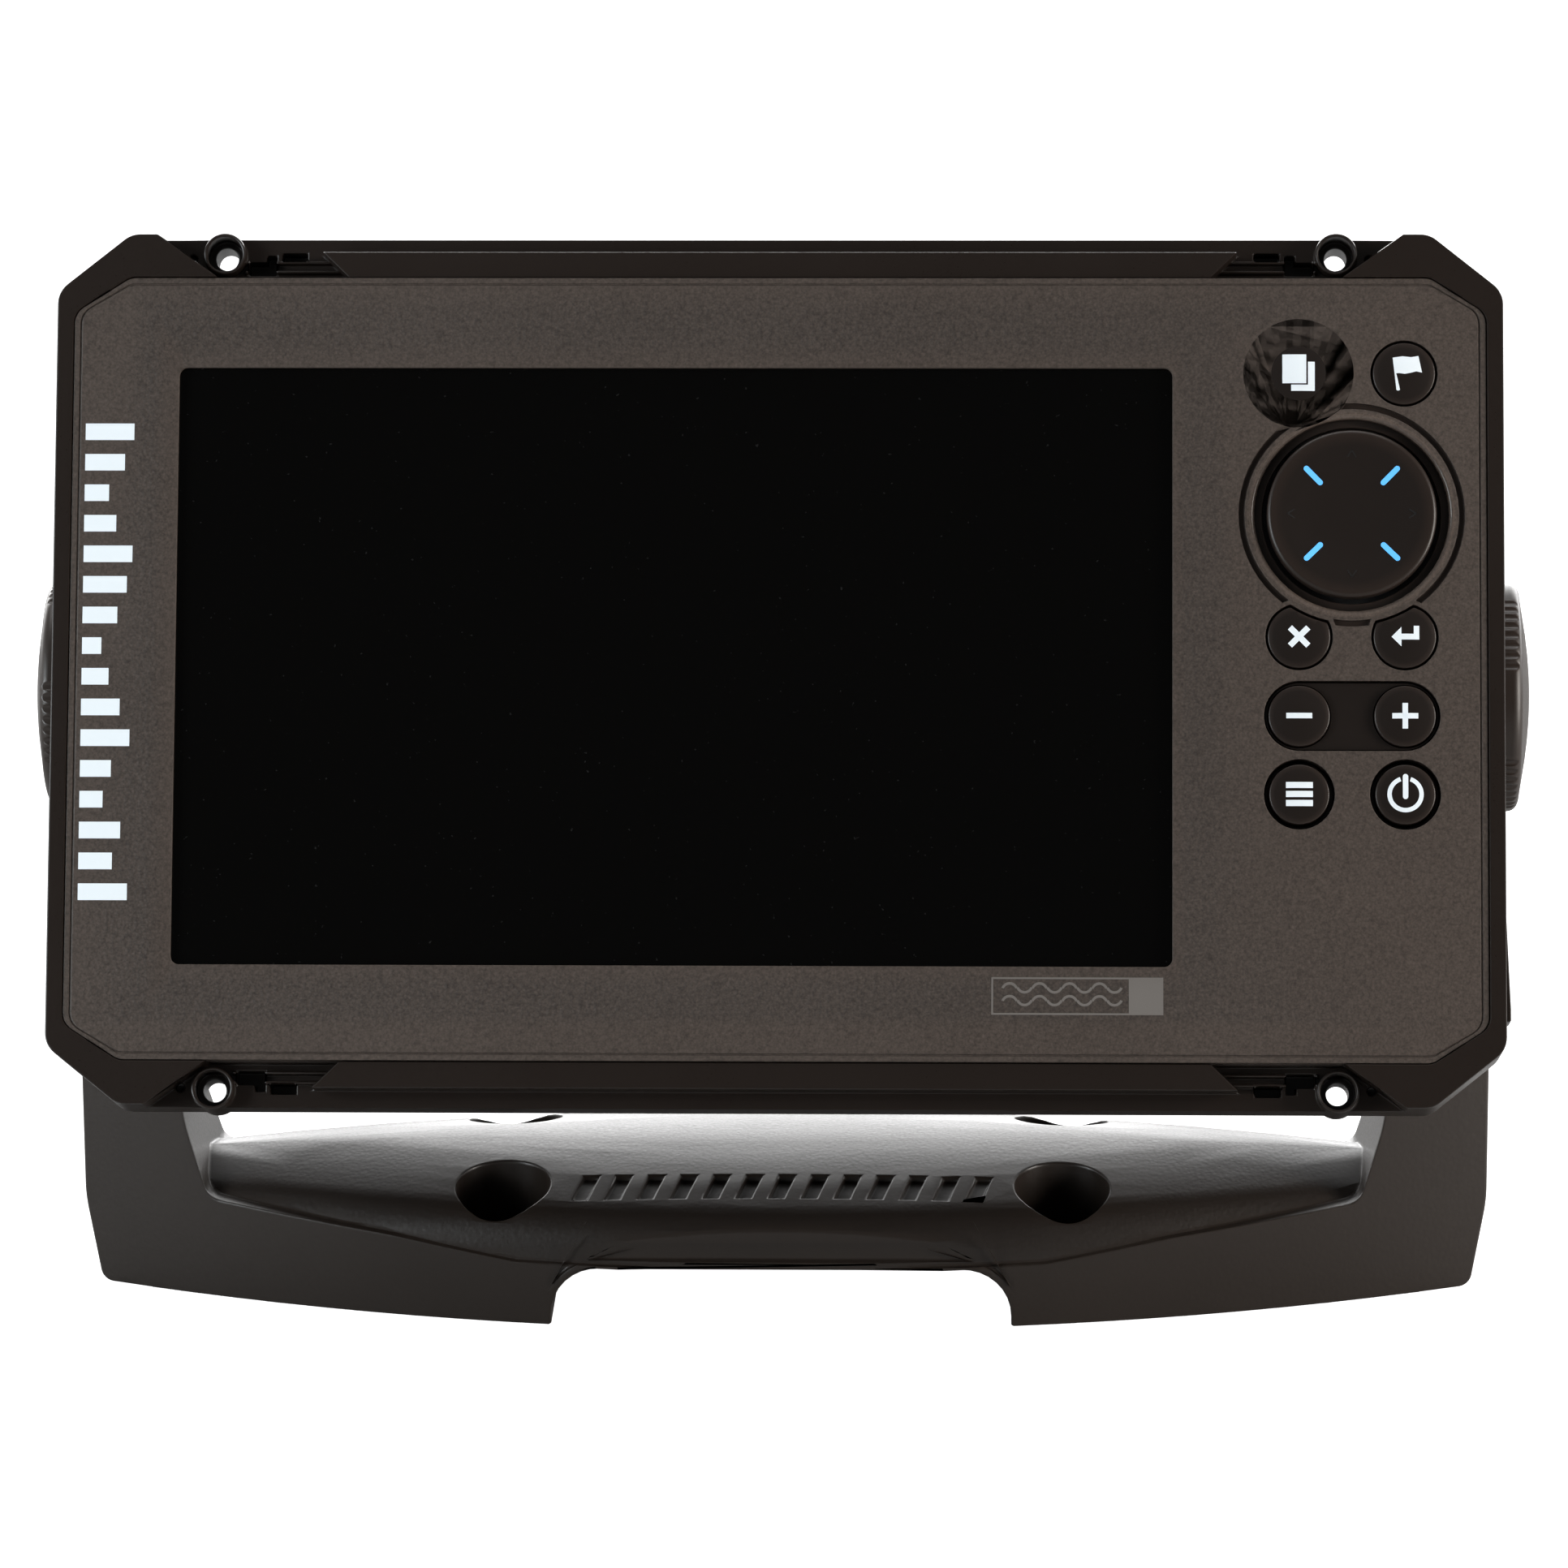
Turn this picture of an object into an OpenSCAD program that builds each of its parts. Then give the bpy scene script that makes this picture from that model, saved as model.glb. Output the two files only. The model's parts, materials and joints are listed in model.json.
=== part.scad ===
// Chartplotter display on a gimbal bracket.
// The origin is the centre of the bracket's mounting face: X to the right, Y away from the user, Z up.
// The head's pieces are drawn in the face's own frame (x right, y up the face, z out of the face, zero on
// the bezel's front) and on_head() carries them to the tilted head.

/* [Screen] */
// Width of the visible window
screen_w = 154.4; // [120:1:185]
// Height of the visible window
screen_h = 93.4; // [78:1:112]
// Corner radius of the window
screen_r = 1.3; // [0.5:0.1:3]
// How far the window's centre is above the middle of the face
screen_rise = 0.4; // [0:0.1:2]
// Depth of the shallow pan round the window
pan_d = 0.8; // [0.4:0.1:1.2]
// Width of the pan's sloped border
pan_slope = 4.6; // [3:0.1:6]

/* [Head] */
// Width of the head left of the window
side_margin = 19.1; // [17:0.1:26]
// Width of the head right of the window, where the keys are
key_panel_w = 51.2; // [48:0.2:62]
// Height of the head above and below the window
top_margin = 21.4; // [19:0.1:28]
// Depth of the front frame
frame_d = 13; // [13:0.2:14.6]
// Depth from the face to the back of the rear case
head_d = 58; // [52:1:72]
// Wall of the rear case
case_wall = 2.5; // [2:0.1:3.2]
// Depth of the tilt axis behind the face
pivot_depth = 31.4; // [31.3:0.1:35]
// How far the head leans back
tilt = 23.5; // [0:0.5:40]

/* [Keys] */
// Distance of the two key columns' centre line from the right edge
key_inset = 23.55; // [22:0.05:26]
// Half the distance between the key columns
key_half = 8.15; // [7.5:0.05:9]
// Radius of the round keys
key_r = 4.85; // [4:0.05:5.2]
// Radius of the large top left key
pages_r = 5.8; // [5:0.05:6.2]
// Radius of the cursor pad
pad_r = 13.1; // [11:0.1:13.6]
// Clearance round each key
key_gap = 0.35; // [0.2:0.05:0.5]
// Travel of a key
key_travel = 0.8; // [0.5:0.1:1]

/* [Bracket] */
// Depth of the base at its middle
base_d = 62; // [54:1:74]
// Height of the domed bar
dome_h = 22; // [20:0.5:26]
// Space between the head's lower edge and the dome, with the head upright
under_gap = 5.4; // [4:0.2:12]
// Wall of the arm at the tilt axis
arm_t = 8.5; // [7:0.1:12]
// Radius of the arm's round end
arm_r = 15.5; // [13:0.1:15.5]
// Distance between the mounting screws across the bracket
screw_span_x = 88.8; // [84:0.2:110]
// Distance between the mounting screws front to back
screw_span_y = 34; // [28:0.5:38]
// Diameter of the mounting screws' clearance holes
screw_hole_d = 5.5; // [4:0.1:6.5]
// Width of the cable tunnel
tunnel_w = 72.8; // [60:0.2:74]
// Height of the cable tunnel
tunnel_h = 9.7; // [7:0.1:10.5]

/* [Knobs] */
// Diameter of the knobs
knob_d = 36; // [30:0.5:40]
// Thickness of a knob
knob_t = 7.3; // [6.5:0.1:10]
// Diameter of the knob's threaded stud
stud_d = 8; // [6:0.5:9]
// Running clearance round the stud, on the radius
stud_gap = 0.06; // [0.03:0.01:0.1]

/* [Hidden] */
$fn = 64;

eps = 0.01;
over = 60;

// Head outline
hx = (side_margin + screen_w + key_panel_w) / 2;
hy = screen_h / 2 + top_margin;
sx = -hx + side_margin + screen_w / 2;
sy = screen_rise;
guard_cut_x = 11.35;
guard_cut_y = 9.1;
flange_set = 5;
guard_top = 0.3;
strip_top = -0.5;
strip_y = hy - 2.7;
strip_end = hx - 41.1;
strip_lean = 5.4;
ear_x = hx - 25.75;
ear_y = hy - 2.75;
ear_r = 3.3;
ear_set = 2;
ear_bore_r = 1.75;
ear_cup_r = 2.75;
ear_cup_d = 4.5;

// Bezel
bezel_t = 3;
bezel_x = hx - 2.7;
bezel_y = hy - 6.95;
bezel_cut_x = 8.65;
bezel_cut_y = 5.55;
bezel_gap = 0.12;
pan_x0 = -hx + 15;
pan_x1 = hx - 44.6;
pan_y0 = -hy + 14.1;
pan_y1 = hy - 12.5;
groove_in = 0.9;
groove_w = 0.28;
groove_d = 0.3;

// Display stack, front to back
lip_t = 0.8;
gasket_t = 0.4;
glass_t = 1.6;
glass_edge = 2.6;
pocket_gap = 0.5;
glass_top = -pan_d - lip_t - gasket_t;
glass_back = glass_top - glass_t;
lcd_edge = 3.2;
lcd_t = 2.5;
lcd_top = glass_back - 0.1;
light_t = 2.8;
light_top = lcd_top - lcd_t - 0.1;
tray_t = 0.8;
tray_wall = 0.8;
tray_gap = 0.4;
cavity_x = hx - 6.85;
cavity_y = hy - 9.1;
back_wall = 3;
tray_back = -frame_d + back_wall;
tray_x = screen_w / 2 + lcd_edge + tray_gap + tray_wall;
tray_y = screen_h / 2 + lcd_edge + tray_gap + tray_wall;
tray_ear_y = 4.4;
tray_ear_w = 10;
tray_ears_x = [-40, 40];
small_screw_r = 1.2;

// Keys
key_x = hx - key_inset;
key_l = key_x - key_half;
key_r_x = key_x + key_half;
row_top = 46.15;
row_pad = 24;
row_exit = 4.9;
row_zoom = -7.4;
row_menu = -19.6;
key_proud = 0.35;
dome_key_r = 26;
flange_t = 0.9;
flange_w = 0.75;
flange_top = -bezel_t - 0.1;
plunger_r = 1.5;
mat_t = 0.9;
mat_top = flange_top - flange_t - key_travel - 0.1;
board_t = 1.6;
keyboard_back = tray_back + 0.1;
keyboard_top = keyboard_back + board_t;
snap_t = 0.5;
snap_r = 2.6;
plunger_tip = keyboard_top + snap_t + key_travel + 0.1;
zoom_r = 5.43;
zoom_key_r = 4.75;
well_r = pad_r + 1.9;
ring_r0 = 16.6;
ring_r1 = 17.45;
arc_cut_r = 17.3;
ring_break_r = 5.9;
pad_pivot_z = -2.2;
pad_tip_r = 9;
pad_gap = key_gap + 0.35;
step_r = 8.4;
menu_gap = key_gap + 0.25;
keyboard_x0 = pan_x1 + 4.2;
keyboard_x1 = cavity_x - 0.5;
keyboard_y0 = row_menu - 34.9;
keyboard_y1 = row_top + 9.5;
mat_y0 = row_menu - 8;

// Card door in the head's right side
door_y0 = keyboard_y0 + 0.2;
door_y1 = door_y0 + 28;
door_z0 = -frame_d + 1.8;
door_z1 = -4.2;
door_gap = 0.2;
door_depth = 3.85;
door_t = 3.1;
door_pin_r = 0.75;
door_pin_gap = 0.05;
door_knuckle_r = 1.65;
door_pin_x = hx - 1.95;
door_pin_y = door_y1 - 1.95;
door_bulge = 0.9;
card_y = door_y0 + 11;
card_w = 12.4;
card_slot_h = 2;
card_z = keyboard_top + 1.1;

// Rear case
case_x = hx - 18.35;
case_x_end = hx - 21.35;
case_y = hy - 7.1;
case_shoulder = 24;
case_back_y = case_y - 19;
case_lean_y = 30;
rim_w = 5.6;
rim_t = 4;
seal_in = 1;
seal_w = 1.9;
seal_d = 1.5;
case_screw_x = case_x - 14;
case_screw_y = case_y - 6.2;
case_boss_r = 4.4;
case_well_r = 3.3;
case_screw_r = 1.5;
case_head_r = 2.8;
case_head_t = 2.2;
post_r = 3.2;
post_d = 4;

// Tilt pivot, measured out along X from the middle
pivot_z = dome_h + under_gap + hy;
arm_out = hx - 2.85;
arm_in = arm_out - arm_t;
friction_t = 1.4;
boss_r = 14.5;
boss_out = arm_in - friction_t;
boss_in = boss_out - 13.5;
insert_r = 7;
insert_in = boss_out - 11.5;
thrust_t = 1;
thrust_r = 11;
stud_r = stud_d / 2;
stud_in = insert_in + 1;
stud_head_r = stud_r + 2.6;
stud_head_t = 2;

// Rear sockets
bay_x = 0;
bay_y = -14;
bay_w = 76;
bay_h = 36;
bay_d = 5;
socket_pitch = 36;
socket_r = 9.5;
socket_cup_r = 7.6;
socket_shank_r = 8;
socket_len = 8;
nut_r = 10.4;
nut_t = 2.4;
bay_floor = -head_d + bay_d;
bay_inner = bay_floor + case_wall;
pin_r = 0.75;
pin_ring = 3.4;
pin_tip = bay_floor - 3;

// Electronics
main_x = sx + 4;
main_w = 146;
main_h = 92;
main_top = tray_back - 11.4;
standoff_r = 2.6;
standoff_in = 5;
shield_w = 52;
shield_t = 5;
shield_x = main_x - 18;
shield_y = 4;
fin_pitch = 4.8;
fin_h = 6;
spreader_t = 2;
patch_t = 4.5;
buzzer_x = main_x - 58;
buzzer_y = -30;
buzzer_t = 5.5;
header_t = 2.5;
back_header_t = 6;
board_under = main_top - board_t;
fin_root = board_under - shield_t - spreader_t;
ribbon_t = 0.3;
ribbon_z = main_top + 1.3;

// Bracket shape
dome_r = 90;
dome_edge_r = 8;
dome_y = base_d / 2 - 0.8;
plan_sag = 22.8;
plan_half = hx - 2.75;
plan_r = (plan_half * plan_half + plan_sag * plan_sag) / (2 * plan_sag);
cup_r = 7.5;
cup_floor = 6;
ridge_h = 15.7;
bay_cut_y = dome_y - 1.7;
lip_y = base_d / 2 - 1.2;
lip_t2 = 1.4;
slot_n = 13;
slot_pitch = 5.2;
slot_w = 2.4;
slot_lean = 1.6;
slot_y0 = -22;
slot_y1 = -15.2;
slot_d = 1.1;
tunnel_r = 8;

bezel_grey = "#5b5450";
frame_grey = "#3d3835";
key_black = "#2f2b29";
bracket_grey = "#4a4441";
rubber_black = "#222222";
steel = "#b9bcc0";
brass = "#b58d3d";
board_green = "#1f5c3a";
gold = "#c9a24a";

// ---- Helpers -------------------------------------------------------------------------------

// Points of the round between two edges that meet at q
function round_corner(p, q, s, r, n) =
    r <= 0 ? [q] :
    let (
        u = (p - q) / norm(p - q),
        v = (s - q) / norm(s - q),
        half = acos(u * v) / 2,
        c = q + (u + v) / norm(u + v) * r / sin(half),
        from = q + u * r / tan(half) - c,
        to = q + v * r / tan(half) - c,
        a0 = atan2(from[1], from[0]),
        turn = (atan2(to[1], to[0]) - a0 + 540) % 360 - 180
    )
    [for (i = [0:n]) c + r * [cos(a0 + turn * i / n), sin(a0 + turn * i / n)]];

// An outline from corners given as [x, y, radius]
function outline(corners, n = 6) =
    let (m = len(corners), xy = [for (c = corners) [c[0], c[1]]])
    [for (i = [0:m - 1])
        each round_corner(xy[(i + m - 1) % m], xy[i], xy[(i + 1) % m], corners[i][2], n)];

// The four quadrants of an outline whose upper right corners are given from right to top
function four_way(corners) = concat(
    corners,
    [for (i = [len(corners) - 1:-1:0]) [-corners[i][0], corners[i][1], corners[i][2]]],
    [for (c = corners) [-c[0], -c[1], c[2]]],
    [for (i = [len(corners) - 1:-1:0]) [corners[i][0], -corners[i][1], corners[i][2]]]
);

module on_head() translate([0, 0, pivot_z]) rotate([90 - tilt, 0, 0])
    translate([0, 0, pivot_depth]) children();

// A flat piece from one depth to another
module slab(z0, z1) translate([0, 0, z0]) linear_extrude(z1 - z0) children();

module disc(x, y, r, z0, z1) translate([x, y, z0]) cylinder(r = r, h = z1 - z0);

module block(x0, x1, y0, y1, z0, z1) translate([x0, y0, z0]) cube([x1 - x0, y1 - y0, z1 - z0]);

module both_sides() {
    children();
    mirror([1, 0, 0]) children();
}

module four_corners() {
    both_sides() children();
    mirror([0, 1, 0]) both_sides() children();
}

module round_rect(w, h, r) polygon(outline([
    [w / 2, h / 2, r], [-w / 2, h / 2, r], [-w / 2, -h / 2, r], [w / 2, -h / 2, r]
]));

// Pieces that turn about the tilt axis, drawn with z out along X from the middle of the head
module on_pivot() translate([0, 0, pivot_z]) rotate([0, 90, 0]) children();

// A ring or tube in that frame
module tube(r_out, r_in, z0, z1) difference() {
    disc(0, 0, r_out, z0, z1);
    disc(0, 0, r_in, z0 - 1, z1 + 1);
}

// ---- Bracket --------------------------------------------------------------------------------

// The base's plan: two large arcs that meet beyond the arms
module lens(inset, h) intersection() {
    translate([0, base_d / 2 - inset - plan_r, -1]) cylinder(r = plan_r, h = h + 1, $fn = 200);
    translate([0, plan_r - base_d / 2 + inset, -1]) cylinder(r = plan_r, h = h + 1, $fn = 200);
}

// The dome from its front edge to the crown, as [distance in from the edge, height]
function dome_profile() =
    let (
        cy = dome_y - dome_edge_r,
        cz = dome_h - dome_r + sqrt(pow(dome_r - dome_edge_r, 2) - cy * cy),
        top = asin(cy / (dome_r - dome_edge_r))
    )
    concat(
        [for (i = [0:6]) let (a = i * (90 - top) / 6) [dome_edge_r * (1 - cos(a)), cz + dome_edge_r * sin(a)]],
        [for (i = [5:-1:0]) let (a = top * i / 6) [dome_y - dome_r * sin(a), dome_h - dome_r + dome_r * cos(a)]]
    );

// A large drum whose rim is rounded over like the dome's edge
module round_drum() rotate_extrude($fn = 200) polygon(concat(
    [[0, -1], [plan_r, -1]],
    [for (p = dome_profile()) [plan_r - p[0], p[1]]],
    [[0, dome_h]]
));

// One half of the front view: apron, arm and the ridge between them
module arm_front() polygon(outline([
    [0, 0, 0], [plan_half + 0.1, 0, 2], [hx - 0.1, 14, 25], [hx - 0.1, 40, 60],
    [arm_out, pivot_z - arm_r - 4, 40],
    [arm_out, pivot_z + arm_r, 0], [arm_in, pivot_z + arm_r, 0], [arm_in, pivot_z - arm_r - 4, 30],
    [arm_in - 5.7, 29, 30], [arm_in - 9.4, ridge_h + 0.8, 3], [hx - 51, ridge_h - 2.3, 40],
    [42, 10.4, 10], [0, 9.9, 0]
]));

module bracket() color(bracket_grey) difference() {
    union() {
        intersection() {
            union() {
                dome_bar();
                both_sides() rotate([90, 0, 0]) translate([0, 0, -over]) linear_extrude(2 * over) arm_front();
            }
            union() {
                block(-2 * hx, 2 * hx, -over, over, -1, pivot_z);
                on_pivot() disc(0, 0, arm_r, -2 * hx, 2 * hx);
            }
            lens(0, pivot_z + arm_r + 1);
        }
        on_pivot() both_ends() disc(0, 0, arm_r, arm_in, arm_out);
    }
    on_pivot() disc(0, 0, stud_r + stud_gap, -2 * hx, 2 * hx);
    front_bay();
    cable_tunnel();
    mounting_holes();
    base_pockets();
    engraved_slots();
}

// The same piece at each end of the tilt axis
module both_ends() {
    children();
    mirror([0, 0, 1]) children();
}

module dome_bar() intersection() {
    translate([0, plan_r - dome_y, 0]) round_drum();
    translate([0, dome_y - plan_r, 0]) round_drum();
    block(-arm_in, arm_in, -base_d, base_d, -1, dome_h + 1);
}

// A shallow bay at the front, round the cable tunnel's lipped mouth
module front_bay() difference() {
    rotate([90, 0, 0]) translate([0, 0, bay_cut_y]) linear_extrude(over) polygon(outline([
        [-tunnel_w / 2 - 7, -1, 0], [-tunnel_w / 2 - 5, tunnel_h, 8], [-tunnel_w / 2 + 3.4, 17.2, 7],
        [tunnel_w / 2 - 3.4, 17.2, 7], [tunnel_w / 2 + 5, tunnel_h, 8], [tunnel_w / 2 + 7, -1, 0]
    ]));
    intersection() {
        rotate([90, 0, 0]) translate([0, 0, -over]) linear_extrude(2 * over) tunnel_outline(lip_t2);
        block(-over, over, -lip_y, 0, -2, dome_h);
    }
}

module tunnel_outline(grow) polygon(outline([
    [tunnel_w / 2 + grow, -2, 0], [tunnel_w / 2 + grow, tunnel_h + grow, tunnel_r + grow],
    [-tunnel_w / 2 - grow, tunnel_h + grow, tunnel_r + grow], [-tunnel_w / 2 - grow, -2, 0]
], 8));

module cable_tunnel() rotate([90, 0, 0]) translate([0, 0, -over]) linear_extrude(2 * over) tunnel_outline(0);

module mounting_holes() four_corners() translate([screw_span_x / 2, screw_span_y / 2, 0]) {
    disc(0, 0, screw_hole_d / 2, -1, dome_h + 1);
    disc(0, 0, cup_r, cup_floor, dome_h + 1);
}

// Lightening pockets under the dome, between ribs
module base_pockets() both_sides() for (i = [0:1])
    block(screw_span_x / 2 + 11 + i * 17, screw_span_x / 2 + 25.5 + i * 17, -10, 10, -1, dome_h - 7);

// A row of slanted slots along the front of the dome
module engraved_slots() difference() {
    for (i = [0:slot_n - 1]) translate([(i - (slot_n - 1) / 2) * slot_pitch, 0, dome_h - 6])
        linear_extrude(10) polygon([
            [-slot_w / 2 - slot_lean / 2, slot_y0], [slot_w / 2 - slot_lean / 2, slot_y0],
            [slot_w / 2 + slot_lean / 2, slot_y1], [-slot_w / 2 + slot_lean / 2, slot_y1]
        ]);
    translate([-over, 0, dome_h - dome_r]) rotate([0, 90, 0])
        cylinder(r = dome_r - slot_d, h = 2 * over, $fn = 200);
}

// ---- Knobs and pivot --------------------------------------------------------------------------

// A knob with its grip zones turned by the given angle, on the arm at the positive end
module knob(turn) difference() {
    translate([0, 0, arm_out + thrust_t]) rotate_extrude($fn = 96) polygon(concat(
        [[0, 0], [knob_d / 2 - 1, 0], [knob_d / 2, 1]],
        [for (a = [0:15:90]) [knob_d / 2 - 1.6 + 1.6 * cos(a), knob_t - 3.4 + 1.6 * sin(a)]],
        [for (i = [5:-1:1]) [(knob_d / 2 - 2.2) * i / 6, knob_t - 1.8 + 1.8 * (1 - pow(i / 6, 2))]],
        [[0, knob_t]]
    ));
    for (zone = [0:3]) for (i = [-3.5:3.5]) rotate([0, 0, turn + 90 * zone + i * 5.6])
        translate([knob_d / 2 + 0.35, 0, arm_out + thrust_t - 1]) cylinder(r = 0.75, h = knob_t + 1, $fn = 16);
    disc(0, 0, stud_r, arm_out, arm_out + thrust_t + 2);
    stud_head();
}

// The stud's head is moulded into the knob
module stud_head() disc(0, 0, stud_head_r, arm_out + thrust_t + 2, arm_out + thrust_t + 2 + stud_head_t);

module knob_stud() {
    disc(0, 0, stud_r, stud_in, arm_out + thrust_t + 2);
    stud_head();
}

module left_end() mirror([1, 0, 0]) on_pivot() children();

module knob_right() color(key_black) on_pivot() knob(-141);
module knob_left() color(key_black) left_end() knob(-90);
module knob_stud_right() color(steel) on_pivot() knob_stud();
module knob_stud_left() color(steel) left_end() knob_stud();
module thrust_washer_right() color(steel) on_pivot() tube(thrust_r, stud_r + 0.3, arm_out, arm_out + thrust_t);
module thrust_washer_left() color(steel) left_end() tube(thrust_r, stud_r + 0.3, arm_out, arm_out + thrust_t);
module friction_washer() tube(boss_r, insert_r + 0.5, boss_out, arm_in);
module friction_washer_right() color(rubber_black) on_pivot() friction_washer();
module friction_washer_left() color(rubber_black) left_end() friction_washer();
module pivot_insert() tube(insert_r, stud_r + stud_gap, insert_in, boss_out);
module pivot_insert_right() color(brass) on_pivot() pivot_insert();
module pivot_insert_left() color(brass) left_end() pivot_insert();

// ---- Front frame --------------------------------------------------------------------------------

module frame_outline(y) polygon(outline(four_way([
    [hx, y - guard_cut_y, 4], [hx - guard_cut_x, y, 4]
])));

module bezel_outline(grow) polygon(outline(four_way([
    [bezel_x + grow, bezel_y - bezel_cut_y, 3], [bezel_x - bezel_cut_x, bezel_y + grow, 3]
])));

// The corner guards with the narrow bands that join them down the sides
module guard_mask() both_sides() polygon([
    [bezel_x - 23.5, bezel_y - 0.8], [hx - 14.6, hy + 0.6], [hx + 5, hy + 0.6],
    [hx + 5, -hy - 0.6], [hx - 14.6, -hy - 0.6], [bezel_x - 23.5, -bezel_y + 0.8]
]);

// The bar along the upper edge, with slanted ends
module strip_bar() polygon([
    [-strip_end + strip_lean, bezel_y - 1], [strip_end - strip_lean, bezel_y - 1],
    [strip_end, strip_y], [-strip_end, strip_y]
]);

module front_frame() color(frame_grey) on_head() difference() {
    union() {
        difference() {
            union() {
                slab(-frame_d, -flange_set) frame_outline(hy);
                slab(-flange_set, -bezel_t) bezel_outline(0.2);
                intersection() {
                    slab(-flange_set, guard_top) frame_outline(hy);
                    slab(-flange_set - 1, guard_top + 1) guard_mask();
                }
                slab(-flange_set, strip_top) strip_bar();
                mirror([0, 1, 0]) slab(-flange_set, strip_top) strip_bar();
                pocket_ribs();
                four_corners() disc(ear_x, ear_y, ear_r, -frame_d, -ear_set);
            }
            slab(-bezel_t, guard_top + 1) bezel_outline(bezel_gap);
            block(-cavity_x, cavity_x, -cavity_y, cavity_y, -frame_d + back_wall, 0);
            display_opening();
            seal_path(-frame_d - 1, -frame_d + seal_d);
            card_recess();
        }
        case_posts() disc(0, 0, post_r, -frame_d, -frame_d + back_wall + post_d);
    }
    case_posts() disc(0, 0, case_screw_r - 0.2, -frame_d - 1, -frame_d + back_wall + post_d - 1.5);
    four_corners() {
        disc(ear_x, ear_y, ear_bore_r, -frame_d - 1, 0);
        disc(ear_x, ear_y, ear_cup_r, -ear_set - ear_cup_d, guard_top + 1);
        pocket_slots();
    }
    tray_screw_places() disc(0, 0, small_screw_r - 0.15, -frame_d - 1, -frame_d + back_wall + 1);
    keypad_screw_places() disc(0, 0, small_screw_r - 0.15, -frame_d - 1, -frame_d + back_wall + 1);
    ribbon_slot();
    disc(door_pin_x, door_pin_y, door_pin_r, door_z0 - 1.2, door_z1 + 1.2);
}

// The opening in the frame's back wall where the electronics sit
module display_opening() slab(-frame_d - 1, -frame_d + back_wall + 1) translate([main_x, 0, 0])
    round_rect(main_w + 4, 2 * (cavity_y - 9), 4);

module pocket_ribs() four_corners() for (y = [bezel_y + 1.4, bezel_y + 2.9])
    block(strip_end - 3, ear_x - 3, y, y + 0.5, -flange_set - 1, -flange_set + 1.4);

// The catches' slots in each corner pocket
module pocket_slots() {
    block(strip_end + 2.6, strip_end + 6.6, strip_y - 1, strip_y + 0.6, -flange_set - 3.5, 0);
    block(strip_end + 7.4, strip_end + 11.8, bezel_y + 1.3, bezel_y + 3.4, -flange_set - 3.5, 0);
    block(strip_end + 7.4, strip_end + 9, bezel_y + 1.3, strip_y + 0.2, -flange_set - 3.5, 0);
    disc(ear_x + 5.2, ear_y - 0.4, 0.7, -flange_set - 1.5, 0);
}

module case_posts() for (x = [-case_screw_x, 0, case_screw_x]) for (s = [-1, 1])
    translate([x, s * case_screw_y, 0]) children();

module tray_screw_places() for (x = tray_ears_x) for (s = [-1, 1])
    translate([sx + x, sy + s * (tray_y + tray_ear_y / 2), 0]) children();

module keypad_screw_places() for (p = [
    [keyboard_x0 + 2.6, keyboard_y1 - 2.6], [keyboard_x1 - 2.6, keyboard_y1 - 2.6],
    [keyboard_x0 + 2.6, keyboard_y0 + 2.6]
]) translate([p[0], p[1], 0]) children();

module ribbon_slot()
    block(keyboard_x0 + 1.5, keyboard_x0 + 3.5, 14, 34, -frame_d - 1, -frame_d + back_wall + 1);

module card_recess() {
    block(hx - door_depth, hx + 5, door_y0 - door_gap, door_y1 + door_gap,
        door_z0 - door_gap, door_z1 + door_gap);
    translate([0, card_y, card_z])
        block(cavity_x - 1, hx, -card_w / 2, card_w / 2, -card_slot_h / 2, card_slot_h / 2);
}

// ---- Bezel, screen and display stack --------------------------------------------------------------

module front_bezel() color(bezel_grey) on_head() difference() {
    slab(-bezel_t, 0) bezel_outline(0);
    screen_pan();
    slab(-bezel_t - 1, 1) translate([sx, sy]) round_rect(screen_w, screen_h, screen_r);
    slab(-bezel_t - 1, -pan_d - lip_t) translate([sx, sy])
        round_rect(screen_w + 2 * glass_edge + pocket_gap, screen_h + 2 * glass_edge + pocket_gap, 2);
    slab(-groove_d, 1) difference() {
        bezel_outline(-groove_in);
        bezel_outline(-groove_in - groove_w);
    }
    key_holes();
    pad_ring();
}

// The pan's sloped sides are two wedge-sided bars crossed
module screen_pan() intersection() {
    rotate([90, 0, 0]) translate([0, 0, -2 * hy]) linear_extrude(4 * hy) polygon([
        [pan_x0 - pan_slope / pan_d, 1], [pan_x0, 0], [pan_x0 + pan_slope, -pan_d],
        [pan_x1 - pan_slope, -pan_d], [pan_x1, 0], [pan_x1 + pan_slope / pan_d, 1]
    ]);
    rotate([90, 0, 90]) translate([0, 0, -2 * hx]) linear_extrude(4 * hx) polygon([
        [pan_y0 - pan_slope / pan_d, 1], [pan_y0, 0], [pan_y0 + pan_slope, -pan_d],
        [pan_y1 - pan_slope, -pan_d], [pan_y1, 0], [pan_y1 + pan_slope / pan_d, 1]
    ]);
}

module key_holes() {
    disc(key_l, row_top, pages_r + key_gap, -bezel_t - 1, 1);
    disc(key_l, row_top, step_r, -groove_d, 1);
    disc(key_r_x, row_top, key_r + key_gap, -bezel_t - 1, 1);
    disc(key_x, row_pad, pad_r + pad_gap, -bezel_t - 1, 1);
    disc(key_x, row_pad, well_r, -1.3, 1);
    for (x = [key_l, key_r_x]) {
        slab(-bezel_t - 1, 1) cut_key(x, key_r + key_gap, -key_gap);
        disc(x, row_menu, key_r + menu_gap, -bezel_t - 1, 1);
        disc(x, row_zoom, zoom_r, -bezel_t - 1, 1);
    }
    block(key_l, key_r_x, row_zoom - zoom_r, row_zoom + zoom_r, -bezel_t - 1, 1);
}

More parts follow.
